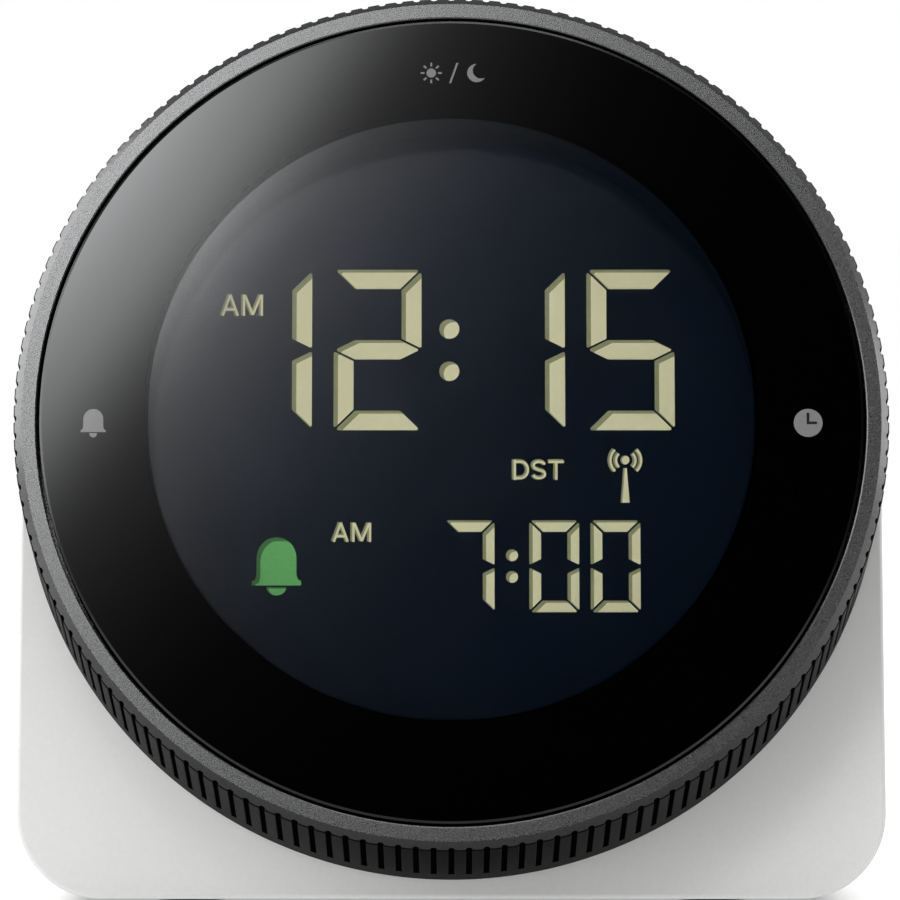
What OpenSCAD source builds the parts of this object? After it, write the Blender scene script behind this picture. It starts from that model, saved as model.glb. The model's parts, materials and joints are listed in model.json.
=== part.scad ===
// Radio-controlled alarm clock: a round display that leans back inside a ribbed
// setting ring, carried by a white stand. Millimetres, +Z up, the face looks along -Y.
// Depths are measured from the front plane of the ring, back along the ring's axis.

/* [Stance] */
// Lean of the face back from upright, in degrees
tilt = 13; // [8:0.5:18]
// Depth of the stand along its base
base_depth = 38; // [35:0.5:48]
// How far the rubber feet stand out of the base
foot_proud = 0.4; // [0.3:0.1:0.8]
// Radius of a rubber foot
foot_r = 4; // [3:0.25:5]
// How deep a foot sits in its pocket
foot_sunk = 0.8; // [0.5:0.1:1.2]
// How far the feet lie in from the stand's front, back and side edges
foot_inset = 8.5; // [6:0.25:9]

/* [Setting ring] */
// Diameter of the ring over its ribs
ring_d = 84; // [80:1:94]
// Length of the ring along its axis
ring_len = 17; // [15.5:0.5:20]
// Width of the ring's flat front face
ring_face_w = 1.4; // [1:0.1:2]
// Width of the sloped shoulder round the front face
shoulder_w = 0.8; // [0.6:0.1:1.2]
// Depth of that shoulder
shoulder_len = 0.9; // [0.5:0.1:1.5]
// Wall of the ring round its bearing bore
ring_wall = 2; // [1.7:0.1:2.6]
// Number of grooves round the ring
groove_count = 156; // [120:4:180]
// Width of a groove
groove_w = 0.58; // [0.4:0.02:0.8]
// Depth of a groove
groove_cut = 0.3; // [0.2:0.05:0.6]
// Length of the plain rim behind the grooves
rear_rim = 3.4; // [2:0.2:5]
// Gap between the ring and the stand behind it
ring_gap = 0.5; // [0.3:0.1:1]
// Running clearance of the ring on its collar
ring_run = 0.06; // [0.03:0.01:0.1]
// Axial play on each side of the ring's toothed web
web_play = 0.2; // [0.15:0.05:0.35]
// Thickness of the toothed web
web_t = 1.4; // [1:0.1:1.8]

/* [Setting gear] */
// Module of the gear teeth
gear_module = 0.5; // [0.4:0.05:0.5]
// Teeth on the encoder's pinion
pinion_teeth = 10; // [9:1:11]
// Rim between the ring's bearing bore and the tooth pitch line
gear_rim = 2; // [1.8:0.1:2.4]
// Share of the tooth pitch that a tooth fills
tooth_fill = 0.4; // [0.34:0.01:0.42]
// Place of the encoder round the face, in degrees
encoder_angle = -45; // [-50:1:-40]
// Radius of the encoder's shaft
encoder_shaft_r = 0.75; // [0.6:0.05:0.8]

/* [Lens] */
// Gap between the lens and the ring
lens_gap = 0.3; // [0.3:0.05:0.8]
// Thickness of the lens
lens_t = 2; // [1.5:0.1:2.5]
// Bevel round the lens
lens_bevel = 0.15; // [0.1:0.05:0.5]
// Width of the band from the ring's outside in to the clear window
window_band = 12.6; // [12.4:0.1:14]
// Thickness of the black mask film
film_t = 0.15; // [0.1:0.05:0.3]
// Thickness of the adhesive ring behind the mask
tape_t = 0.15; // [0.1:0.05:0.3]
// Thickness of the lens carrier
carrier_t = 0.8; // [0.6:0.1:1.2]
// Step in from the lens edge to the mask, tape and carrier edges
carrier_step = 0.4; // [0.3:0.1:1]

/* [Rocking mount] */
// Depth of the rocking axes behind the carrier
rock_drop = 1.9; // [1.8:0.1:2.4]
// Radial width of the gimbal ring
gimbal_w = 1.6; // [1.2:0.1:1.8]
// Thickness of the gimbal ring
gimbal_t = 1.2; // [1.1:0.1:1.4]
// Radius of a gimbal pin
pin_r = 0.4; // [0.35:0.05:0.5]
// Running clearance of pins, shafts and plungers
fit_run = 0.05; // [0.03:0.01:0.08]
// Radial length of a pivot lug
lug_len = 1.6; // [1.2:0.1:1.8]
// Width of a pivot lug
lug_w = 3; // [2.4:0.2:4]
// Radial gap between the gimbal ring and the lugs
lug_gap = 0.8; // [0.5:0.1:1]
// Radius of a switch plunger
plunger_r = 0.9; // [0.7:0.05:1]
// Angle from a rocking axis to its plunger, in degrees
plunger_offset = 12; // [10:0.5:15]
// Free gap between a lens post and its plunger
post_gap = 0.25; // [0.2:0.05:0.4]
// Free gap round the recess tube, inside the carrier and the gimbal ring
tube_gap = 0.6; // [0.5:0.05:0.7]
// Free gap between the pivot lugs and the retaining ring
lug_clear = 0.4; // [0.3:0.05:0.6]

/* [Display] */
// Depth from the mask film to the display glass
recess = 4.85; // [4.4:0.05:5.2]
// Wall of the recess tube in front of the glass
tube_wall = 1.5; // [1.2:0.1:1.7]
// Step out from the window edge to the recess tube
tube_step = 0.1; // [0.1:0.1:0.3]
// Thickness of the display glass
glass_t = 2.2; // [1.6:0.1:2.6]
// Wall that holds the glass and the light guide
seat_wall = 1.5; // [1.2:0.1:1.6]
// How far the glass laps behind the recess tube
glass_lap = 0.6; // [0.4:0.1:0.8]
// Thickness of the shelf in front of the glass
shelf_t = 0.6; // [0.4:0.05:0.65]
// Fit of the glass in its seat
glass_fit = 0.1; // [0.05:0.05:0.2]
// Thickness of the light guide
guide_t = 1.8; // [1.2:0.1:2]
// Thickness of the chassis flange
flange_t = 1.6; // [1.2:0.1:2]
// Gap from the collar's front end to the chassis flange
flange_drop = 1.1; // [1.0:0.1:1.6]
// Thickness of a display segment
segment_relief = 0.12; // [0.08:0.02:0.2]
// Height of the time figures
time_h = 16; // [14:0.5:17]
// Width of a time figure
time_w = 8.5; // [7.5:0.25:9]
// Stroke of the time figures
time_stroke = 1.93; // [1.5:0.01:2.2]
// Height of the alarm figures
alarm_h = 9; // [8:0.25:9.5]
// Width of an alarm figure
alarm_w = 4.8; // [4.4:0.1:5]
// Stroke of the alarm figures
alarm_stroke = 1.13; // [0.9:0.01:1.3]

/* [Circuit board] */
// Thickness of the circuit board
board_t = 1.6; // [1:0.1:1.8]
// Room for switches between the chassis flange and the board
switch_h = 2; // [1.8:0.1:2.6]
// Side of a press switch
switch_side = 4.4; // [4:0.1:4.6]
// How far the clamp screws lie outside the inner edge of the pivot lugs
clamp_out = 1.2; // [1:0.1:1.4]
// How far the board screws lie inside the inner edge of the pivot lugs
board_screw_in = 0.4; // [0.2:0.1:0.6]
// Shank radius of the small screws
screw_r = 0.8; // [0.6:0.05:0.85]
// Head radius of the small screws
screw_head_r = 1.4; // [1.2:0.1:1.6]
// Wall of a screw boss beyond the screw head
boss_wall = 0.8; // [0.6:0.1:0.9]
// Margin of an ear or a post beyond the screw head
ear_margin = 0.2; // [0.1:0.05:0.3]
// Gap between the collar and the chassis flange
flange_fit = 0.3; // [0.2:0.05:0.5]
// Gap between the collar and the board's edge
board_fit = 0.6; // [0.4:0.05:0.8]
// Side of the encoder's case
encoder_side = 6; // [5:0.25:6.25]
// Clearance of a screw in its hole
screw_play = 0.1; // [0.05:0.05:0.2]

/* [Stand] */
// How much wider than the ring the stand is
stand_extra = 0.4; // [0:0.2:3]
// How far the stand reaches below the ring along the face
base_lip = 1.8; // [1.5:0.1:4]
// Radius of the stand's lower corners
corner_r = 8.3; // [6:0.1:10]
// Wall of the stand
wall = 2.2; // [1.8:0.1:2.6]
// Wall of the collar that carries the ring
collar_wall = 2.4; // [2:0.1:2.8]
// Thickness of the retaining ring
retainer_t = 0.9; // [0.7:0.1:1.2]
// Gap between the retaining ring and the setting ring's lip
retainer_gap = 0.5; // [0.3:0.05:0.8]
// Thickness of the glide washer
glide_t = 0.5; // [0.3:0.1:0.8]
// Radius of a cover screw post
cover_post_r = 2.8; // [2.4:0.1:3.2]
// Shank radius of a cover screw
cover_screw_r = 1.1; // [0.9:0.05:1.3]
// Length of a cover screw
cover_screw_len = 10; // [8:0.5:12]

/* [Rear cover] */
// Thickness of the rear cover
cover_t = 2.6; // [2.4:0.1:3.2]
// Gap round the rear cover
cover_fit = 0.15; // [0.1:0.05:0.3]
// Gap between the battery bay and the sounder above it
sounder_rise = 6.5; // [4:0.5:8]
// Gap between the sounder and the aerial winding in front of it
speaker_gap = 0.4; // [0.2:0.1:1.5]
// Radius of the sounder
speaker_r = 9.5; // [8:0.5:10]
// Thickness of the sounder
speaker_t = 3.2; // [2.5:0.1:4]
// Number of sound slots
slot_count = 5; // [3:2:7]
// Width of a sound slot
slot_w = 1.3; // [0.8:0.1:1.4]
// Distance from slot to slot
slot_pitch = 2.8; // [2.3:0.1:2.8]
// Distance of the zone switch and reset button from the middle
control_x = 25; // [23:0.5:27]
// Travel of the zone switch each way
zone_travel = 2.2; // [1.5:0.1:2.5]
// Travel of the reset button
reset_travel = 0.8; // [0.5:0.1:1]
// Radius of the reset button
reset_r = 1.6; // [1.3:0.1:1.9]

/* [Power] */
// Diameter of a battery cell
cell_d = 10.5; // [10:0.1:10.5]
// Length of a battery cell
cell_len = 44.5; // [42:0.5:44.5]
// Room at each end of a cell for its contacts
contact_room = 2.3; // [2:0.1:2.6]
// Thickness of the battery door
door_t = 1.8; // [1.5:0.1:2]
// How far the door laps over the battery bay
door_lap = 1.2; // [1:0.1:1.6]
// Gap round the battery door
door_gap = 0.25; // [0.2:0.05:0.4]
// Radius of a door hinge pin
door_pin_r = 0.5; // [0.4:0.05:0.5]
// Height of the battery bay's floor above the table
bay_z = 6; // [6:0.25:7]
// Wall of the battery bay
bay_wall = 1.2; // [1:0.1:1.6]

/* [Receiver] */
// Radius of the ferrite rod
ferrite_r = 4; // [3:0.25:4.25]
// Length of the ferrite rod
ferrite_len = 44; // [38:1:46]
// Gap between the ferrite rod and the cover posts above it
ferrite_gap = 1; // [0.5:0.1:2]
// Thickness of the aerial winding
winding_t = 1.5; // [1:0.1:1.8]

/* [Hidden] */
$fn = 96;
// A little more than nothing, so that cuts pass through faces
eps = 0.5;
// Larger than the whole object
far = 200;

// Radii from the ring inward
ring_r = ring_d / 2;
face_r = ring_r - shoulder_w;
lip_r = face_r - ring_face_w;
bore_r = ring_r - ring_wall;
collar_r = bore_r - ring_run;
collar_in_r = collar_r - collar_wall;
lens_r = lip_r - lens_gap;
mask_r = lens_r - carrier_step;
carrier_r = mask_r - carrier_step;
window_r = ring_r - window_band;
tube_in_r = window_r + tube_step;
tube_r = tube_in_r + tube_wall;
carrier_in_r = tube_r + tube_gap;
gimbal_in_r = tube_r + tube_gap;
gimbal_r = gimbal_in_r + gimbal_w;
lug_r = gimbal_r + lug_gap;
plunger_circle_r = lug_r + plunger_r - 0.3;
clamp_r = lug_r + clamp_out;
board_screw_r = lug_r - board_screw_in;
glass_r = tube_r + glass_lap;
seat_r = glass_r + glass_fit;
seat_out_r = seat_r + seat_wall;
flange_r = collar_in_r - flange_fit;
board_r = collar_in_r - board_fit;
retainer_r = lip_r - retainer_gap;
retainer_in_r = lug_r + lug_len + lug_clear;
ear_r = screw_head_r + ear_margin;
boss_r = screw_head_r + boss_wall;
notch_r = boss_r + board_fit / 2;

// Depths from the ring's front plane back
film_d = lens_t;
tape_d = film_d + film_t;
carrier_d = tape_d + tape_t;
carrier_back = carrier_d + carrier_t;
rock_d = carrier_back + rock_drop;
lug_back = rock_d + 2 * pin_r;
post_front = rock_d - 2 * pin_r;
post_back = rock_d - pin_r / 4;
plunger_front = post_back + post_gap;
retainer_d = rock_d + gimbal_t / 4;
web_d = retainer_d + retainer_t + web_play;
web_back = web_d + web_t;
glide_d = web_back + web_play;
collar_front = glide_d + glide_t;
glass_d = tape_d + recess;
glass_back = glass_d + glass_t;
guide_back = glass_back + guide_t;
shelf_d = glass_d - shelf_t;
tube_front = carrier_back - carrier_t / 4;
flange_d = collar_front + flange_drop;
flange_back = flange_d + flange_t;
board_d = flange_back + switch_h;
board_back = board_d + board_t;
body_d = ring_len + ring_gap;
wall_back = body_d + wall;
boss_back = wall_back - wall / 4;

// Gear
gear_teeth = round(2 * (bore_r - gear_rim) / gear_module);
gear_pitch_r = gear_teeth * gear_module / 2;
pinion_pitch_r = pinion_teeth * gear_module / 2;
encoder_r = gear_pitch_r - pinion_pitch_r;
tooth_add = 0.8 * gear_module;
tooth_ded = 1.2 * gear_module;
tooth_half = tooth_fill * PI * gear_module / 2;
flank = tan(20);

// The stand in upright coordinates
stand_half = ring_r + stand_extra / 2;
face_drop = ring_r + base_lip;
face_z = foot_proud + face_drop * cos(tilt) + body_d * sin(tilt);
axis_z = face_z - body_d * sin(tilt);
arch_z = axis_z - stand_half * (1 - cos(tilt));
front_reach = face_r * sin(tilt);
base_front = body_d * cos(tilt) - face_drop * sin(tilt);
face_y = (front_reach - base_front - base_depth) / 2;
back_y = face_y + base_front + base_depth;

// Places round the face, in degrees
clamp_angles = [45, 135, 225];
board_screw_angles = [20, 160, 270];
plunger_angles = [90 - plunger_offset, 180 + plunger_offset, -plunger_offset];

// Places on the rear cover: [x, z]
cover_top_r = stand_half - wall - cover_post_r - 1.2;
cover_top_angle = 48;
cover_top_z = arch_z + cover_top_r * sin(cover_top_angle);
cover_low = [stand_half - wall - cover_post_r - 2.2, foot_proud + wall + cover_post_r + 3.6];
cover_places = [
  for (side = [-1, 1]) each [
    [side * cover_top_r * cos(cover_top_angle), cover_top_z],
    [side * cover_low[0], cover_low[1]]
  ]
];
cover_head_r = 2 * cover_screw_r;
cover_head_t = 1.4;

// Battery bay
cell_r = cell_d / 2;
cell_gap = 0.6;
cell_play = 0.4;
bay_w = cell_len + 2 * contact_room;
bay_h = 2 * cell_d + cell_gap + 2 * cell_play;
bay_depth = door_t + cell_d + 2 * cell_play;
cell_in = door_t + cell_play + cell_r;
cell_low = bay_z + cell_play + cell_r;
cell_places = [cell_low, cell_low + cell_d + cell_gap];
door_w = bay_w + 2 * door_lap;
door_low = bay_z - 1;
door_high = bay_z + bay_h + door_lap;
door_pin_len = 1.2;
contact_t = 0.3;

// Small controls and receiver
zone_knob = [3, 2.6];
zone_body = [12, 6.6, 4];
zone_play = 0.15;
reset_body = [6.4, 6.4, 4.4];
reset_flange_r = reset_r + 0.6;
gasket_t = 0.5;
speaker_wall = 1.2;
winding_half = 9;
cradle_x = 15;
cradle_w = 3;
ferrite_z = cover_top_z - cover_post_r - ferrite_gap - ferrite_r;
speaker_z = bay_z + bay_h + bay_wall + sounder_rise + speaker_r;
ferrite_in = cover_t + gasket_t + speaker_t + speaker_gap + winding_t + ferrite_r;
wire_r = board_t * 5 / 16;
wire_bend_r = wire_r + 0.1;

// Contact strips and backlight lamps round the light guide
strip = [17, 2];
strip_y = glass_r - 1.4 * strip[1];
guide_half = strip_y - 0.65 * strip[1];
lamp = [1.6, 3];
lamp_room = 2.9;
lamp_gap = 0.3;

white = "#e9e9e7";
black = "#17181b";
gunmetal = "#4b4d51";
cream = "#c6c39b";
steel = "#b9bcc0";

// Face frame: +Z is the way the face looks, +Y is up along the face
module face() {
  translate([0, face_y, face_z])
    rotate([90 - tilt, 0, 0])
      children();
}

// Back frame: +X as the object, +Y is up, +Z goes into the stand from its back plane
module at_back() {
  translate([0, back_y, 0])
    rotate([90, 0, 0])
      children();
}

// A round plate between two depths
module plate(r, front, back) {
  translate([0, 0, -back])
    cylinder(r = r, h = back - front);
}

// A round ring between two depths
module hoop(r_out, r_in, front, back) {
  difference() {
    plate(r_out, front, back);
    plate(r_in, front - eps, back + eps);
  }
}

// A bar between two depths, centred on a place on the face
module bar(size, front, back) {
  translate([-size[0] / 2, -size[1] / 2, -back])
    cube([size[0], size[1], back - front]);
}

// Puts children on a circle round the face
module at_polar(r, angle) {
  rotate([0, 0, angle])
    translate([r, 0, 0])
      children();
}

// Everything behind a depth of the face
module behind(depth) {
  face()
    translate([-far, -far, -depth - far])
      cube([2 * far, 2 * far, far]);
}

// Outline of the stand seen from the front, stepped in by a margin
module stand_outline(margin) {
  half = stand_half - margin;
  low = foot_proud + margin;
  r = max(corner_r - margin, 0.5);
  // The lower half of the arch's circle would reach below the flat base
  translate([0, arch_z])
    intersection() {
      circle(r = half);
      translate([-half - 1, -eps])
        square([2 * half + 2, half + 1]);
    }
  translate([-half, low + r])
    square([2 * half, arch_z - low - r]);
  translate([-half + r, low])
    square([2 * (half - r), r + eps]);
  for (side = [-1, 1])
    translate([side * (half - r), low + r])
      circle(r = r);
}

// Front housing with its collar and posts
module front_housing() {
  color(white)
    difference() {
      union() {
        stand_shell();
        face()
          hoop(collar_r, collar_in_r, collar_front, wall_back);
        clamp_bosses();
        cover_posts();
      }
      clamp_boss_holes();
      cover_post_holes();
      foot_pockets();
    }
}

// Tapered shell: arch outline run straight back, cut by the leaning face
module stand_shell() {
  difference() {
    intersection() {
      at_back()
        linear_extrude(height = far)
          stand_outline(0);
      behind(body_d);
    }
    intersection() {
      translate([0, eps, 0])
        at_back()
          linear_extrude(height = far)
            stand_outline(wall);
      behind(wall_back);
    }
    face()
      plate(collar_in_r, body_d - eps, wall_back + eps);
  }
}

// Bosses inside the collar that take the clamp screws
module clamp_bosses() {
  boss_reach = collar_in_r + collar_wall * 3 / 4 - clamp_r;
  face()
    for (angle = clamp_angles)
      at_polar(clamp_r, angle) {
        plate(boss_r, flange_back, boss_back);
        translate([boss_reach / 2, 0, 0])
          bar([boss_reach, 2 * screw_head_r], flange_back, boss_back);
      }
}

module clamp_boss_holes() {
  face()
    for (angle = clamp_angles)
      at_polar(clamp_r, angle)
        plate(screw_r + fit_run, flange_back - eps, boss_back - 1);
}

// Posts from the front wall to the rear cover
module cover_posts() {
  intersection() {
    at_back()
      for (place = cover_places)
        translate([place[0], place[1], cover_t])
          cylinder(r = cover_post_r, h = far / 2);
    behind(body_d + wall / 4);
  }
}

module cover_post_holes() {
  at_back()
    for (place = cover_places)
      translate([place[0], place[1], cover_t - eps])
        cylinder(r = cover_screw_r + fit_run, h = cover_screw_len);
}

module at_feet() {
  for (side = [-1, 1])
    for (y = [face_y + base_front + foot_inset, back_y - foot_inset])
      translate([side * (stand_half - corner_r - foot_inset), y, 0])
        children();
}

module foot_pockets() {
  at_feet()
    translate([0, 0, foot_proud - eps])
      cylinder(r = foot_r + fit_run, h = foot_sunk + eps);
}

module rubber_feet() {
  color(black)
    at_feet()
      cylinder(r = foot_r, h = foot_proud + foot_sunk);
}

// Rear cover with the battery bay, sound slots and holes for the small controls
module rear_cover() {
  color(white)
    at_back()
      difference() {
        union() {
          linear_extrude(height = cover_t)
            stand_outline(wall + cover_fit);
          translate([-bay_w / 2 - bay_wall, bay_z - bay_wall, eps])
            cube([bay_w + 2 * bay_wall, bay_h + 2 * bay_wall, bay_depth + bay_wall - eps]);
          translate([0, speaker_z, eps])
            cylinder(
              r = speaker_r + screw_play + speaker_wall,
              h = cover_t + gasket_t + speaker_t / 2 - eps
            );
        }
        translate([-bay_w / 2, bay_z, -eps])
          cube([bay_w, bay_h, bay_depth + eps]);
        door_pocket();
        translate([0, speaker_z, cover_t])
          cylinder(r = speaker_r + screw_play, h = gasket_t + speaker_t);
        sound_slots();
        zone_switch_cut();
        translate([-control_x, speaker_z, -eps])
          cylinder(r = reset_r + screw_play, h = cover_t + 2 * eps);
        cover_screw_cuts();
        bay_wire_holes();
      }
}

module door_pocket() {
  translate([-door_w / 2 - door_gap, door_low - door_gap, -eps])
    cube([door_w + 2 * door_gap, door_high - door_low + 2 * door_gap, door_t + screw_play + eps]);
  translate([-door_w / 2 - door_gap - door_pin_len - fit_run, door_low + door_t / 2, door_t / 2])
    rotate([0, 90, 0])
      cylinder(r = door_pin_r + fit_run, h = door_w + 2 * (door_gap + door_pin_len + fit_run));
  translate([0, door_high + door_gap, -eps])
    cylinder(r = 5, h = door_t / 2 + eps);
}

module sound_slots() {
  for (i = [0 : slot_count - 1]) {
    offset_z = (i - (slot_count - 1) / 2) * slot_pitch;
    half = sqrt(pow(speaker_r - 1.5, 2) - pow(offset_z, 2));
    translate([-half, speaker_z + offset_z - slot_w / 2, -eps])
      cube([2 * half, slot_w, cover_t + 2 * eps]);
  }
}

module zone_switch_cut() {
  slot = [zone_knob[0] + 2 * (zone_travel + zone_play), zone_knob[1] + 2 * zone_play];
  translate([control_x - slot[0] / 2, speaker_z - slot[1] / 2, -eps])
    cube([slot[0], slot[1], cover_t + 2 * eps]);
  translate([control_x - slot[0] / 2 - 1.5, speaker_z - slot[1] / 2 - 1.5, -eps])
    cube([slot[0] + 3, slot[1] + 3, 1 + eps]);
}

module cover_screw_cuts() {
  for (place = cover_places)
    translate([place[0], place[1], -eps]) {
      cylinder(r = cover_screw_r + screw_play, h = cover_t + 2 * eps);
      cylinder(r = cover_head_r + screw_play, h = cover_head_t + screw_play + eps);
    }
}

module bay_wire_holes() {
  for (side = [-1, 1])
    translate([side * (bay_w / 2 - 1), cell_places[1], bay_depth - eps])
      cylinder(r = wire_r + screw_play, h = bay_wall + 2 * eps);
}

// Battery door with a round lower edge that turns on its end pins
module battery_door() {
  color(white)
    at_back()
      difference() {
        union() {
          translate([-door_w / 2, door_low + door_t / 2, 0])
            cube([door_w, door_high - door_low - door_t / 2, door_t]);
          translate([-door_w / 2, door_low + door_t / 2, door_t / 2])
            rotate([0, 90, 0])
              cylinder(r = door_t / 2, h = door_w);
          translate([-door_w / 2 - door_gap - door_pin_len, door_low + door_t / 2, door_t / 2])
            rotate([0, 90, 0])
              cylinder(r = door_pin_r, h = door_w + 2 * (door_gap + door_pin_len));
        }
        for (i = [0 : 2])
          translate([-6, door_high - 5 - 1.6 * i, -eps])
            cube([12, 0.8, 0.4 + eps]);
      }
}

module cover_screws() {
  color(steel)
    at_back()
      for (place = cover_places)
        translate([place[0], place[1], 0])
          difference() {
            union() {
              translate([0, 0, screw_play])
                cylinder(r = cover_head_r, h = cover_head_t);
              translate([0, 0, screw_play])
                cylinder(r = cover_screw_r, h = cover_screw_len);
            }
            cross_recess(cover_head_r);
          }
}

// Cross-shaped driver recess in a screw head at the origin, cut along +Z
module cross_recess(head_r) {
  for (turn = [0, 90])
    rotate([0, 0, turn])
      translate([-head_r * 0.6, -head_r * 0.14, -eps])
        cube([head_r * 1.2, head_r * 0.28, eps + 0.8]);
}

// Setting ring: grooved drum with a toothed web inside
module setting_ring() {
  color(gunmetal)
    face()
      difference() {
        union() {
          rotate_extrude()
            polygon([
              [lip_r, 0], [face_r, 0], [ring_r, -shoulder_len], [ring_r, -ring_len],
              [bore_r, -ring_len], [bore_r, -web_d - web_t / 2], [lip_r, -web_d - web_t / 2]
            ]);
          translate([0, 0, -web_back])
            linear_extrude(height = web_t)
              difference() {
                circle(r = bore_r + ring_wall / 4);
                polygon(inner_gear_points());
              }
        }
        grooves();
      }
}

module grooves() {
  translate([0, 0, rear_rim - ring_len])
    linear_extrude(height = ring_len - rear_rim + eps)
      for (i = [0 : groove_count - 1])
        rotate(i * 360 / groove_count)
          translate([ring_r - groove_cut, -groove_w / 2])
            square([groove_cut + eps, groove_w]);
}

// Point at a radius, an angle and a sideways offset along the arc
function arc_point(r, angle, side) =
  let (a = angle + side / r * 180 / PI) [r * cos(a), r * sin(a)];

// Opening of the inner gear, with a tooth space facing the encoder
function inner_gear_points() = [
  for (i = [0 : gear_teeth - 1])
    let (
      angle = encoder_angle + (i + 0.5) * 360 / gear_teeth,
      tip = tooth_half - tooth_add * flank,
      root = tooth_half + tooth_ded * flank,
      tip_r = gear_pitch_r - tooth_add,
      root_r = gear_pitch_r + tooth_ded
    )
    each [
      arc_point(root_r, angle, -root), arc_point(tip_r, angle, -tip),
      arc_point(tip_r, angle, tip), arc_point(root_r, angle, root)
    ]
];

// Pinion outline, with a tooth facing the ring
function pinion_points() = [
  for (i = [0 : pinion_teeth - 1])
    let (
      angle = i * 360 / pinion_teeth,
      tip = tooth_half - tooth_add * flank,
      root = tooth_half + tooth_ded * flank / 2,
      tip_r = pinion_pitch_r + tooth_add,
      root_r = pinion_pitch_r - tooth_ded
    )
    each [
      arc_point(root_r, angle, -root), arc_point(tip_r, angle, -tip),
      arc_point(tip_r, angle, tip), arc_point(root_r, angle, root)
    ]
];

module encoder_pinion() {
  color(cream)
    face()
      at_polar(encoder_r, encoder_angle) {
        translate([0, 0, screw_play - web_back])
          linear_extrude(height = web_t - 2 * screw_play)
            polygon(pinion_points());
        plate(encoder_shaft_r, web_back - 2 * screw_play, board_d - screw_play);
      }
}

module encoder_body() {
  color(black)
    face()
      difference() {
        at_polar(encoder_r, encoder_angle)
          translate([-encoder_side / 4, 0, 0])
            bar([encoder_side, encoder_side], flange_back + screw_play, board_d);
        at_polar(encoder_r, encoder_angle)
          plate(encoder_shaft_r + fit_run, flange_back, board_d + eps);
      }
}

// Retaining ring that keeps the setting ring on its collar
module ring_retainer() {
  color(black)
    face()
      difference() {
        union() {
          hoop(retainer_r, retainer_in_r, retainer_d, retainer_d + retainer_t);
          for (angle = clamp_angles)
            at_polar(clamp_r, angle)
              rotate([0, 0, 180])
                plate(ear_r, retainer_d, retainer_d + retainer_t);
        }
        for (angle = clamp_angles)
          at_polar(clamp_r, angle)
            plate(screw_r + screw_play, retainer_d - eps, retainer_d + retainer_t + eps);
      }
}

module glide_washer() {
  color(cream)
    face()
      hoop(collar_r, collar_in_r, glide_d, collar_front);
}

module clamp_screws() {
  head_t = 0.8;
  color(steel)
    face()
      for (angle = clamp_angles)
        at_polar(clamp_r, angle)
          difference() {
            union() {
              plate(screw_head_r, retainer_d - head_t, retainer_d);
              plate(screw_r, retainer_d - head_t / 2, board_back);
            }
            translate([-screw_head_r * 0.6, -0.15, head_t / 2 - retainer_d])
              cube([screw_head_r * 1.2, 0.3, head_t]);
          }
}

module front_lens() {
  color("#2a2e34", 0.4)
    face()
      rotate_extrude()
        polygon([
          [0, 0], [lens_r - lens_bevel, 0], [lens_r, -lens_bevel], [lens_r, -lens_t], [0, -lens_t]
        ]);
}

module lens_mask() {
  color(black)
    face()
      hoop(mask_r, window_r, film_d, tape_d);
}

module lens_tape() {
  color("#2c2c2c")
    face()
      hoop(carrier_r, carrier_in_r, tape_d, carrier_d);
}

// Carrier behind the lens: two pivot lugs and three posts over the plungers
module lens_carrier() {
  color(black)
    face() {
      difference() {
        union() {
          hoop(carrier_r, carrier_in_r, carrier_d, carrier_back);
          for (angle = [90, 270])
            at_polar(lug_r + lug_len / 2, angle)
              bar([lug_len, lug_w], carrier_back - carrier_t / 2, lug_back);
        }
        for (angle = [90, 270])
          pivot_hole(angle);
      }
      for (angle = plunger_angles)
        at_polar(plunger_circle_r, angle)
          plate(plunger_r, carrier_back - carrier_t / 2, post_back);
    }
}

// Bore through a pivot lug, along its radius
module pivot_hole(angle) {
  at_polar(lug_r - eps, angle)
    translate([0, 0, -rock_d])
      rotate([0, 90, 0])
        cylinder(r = pin_r + fit_run, h = lug_len + 2 * eps);
}

// Gimbal ring with four pins: left and right turn in the chassis, top and bottom carry the lens
module gimbal_ring() {
  color(steel)
    face() {
      hoop(gimbal_r, gimbal_in_r, rock_d - gimbal_t / 2, rock_d + gimbal_t / 2);
      for (angle = [0 : 90 : 270])
        at_polar(gimbal_r - gimbal_w / 2, angle)
          translate([0, 0, -rock_d])
            rotate([0, 90, 0])
              cylinder(r = pin_r, h = gimbal_w / 2 + lug_gap + lug_len - 0.2);
    }
}

// One plunger, from under its lens post into its switch
module plunger(index, tone) {
  color(tone)
    face()
      at_polar(plunger_circle_r, plunger_angles[index])
        plate(plunger_r, plunger_front, flange_back + switch_h / 2 - 0.2);
}

module light_plunger() { plunger(0, cream); }
module alarm_plunger() { plunger(1, cream); }
module clock_plunger() { plunger(2, cream); }

module press_switches() {
  color(steel)
    face()
      for (angle = plunger_angles)
        difference() {
          at_polar(plunger_circle_r, angle)
            bar([switch_side, switch_side], flange_back + screw_play, board_d);
          at_polar(plunger_circle_r, angle)
            plate(plunger_r + fit_run, flange_back, board_d - 0.2);
        }
}

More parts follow.
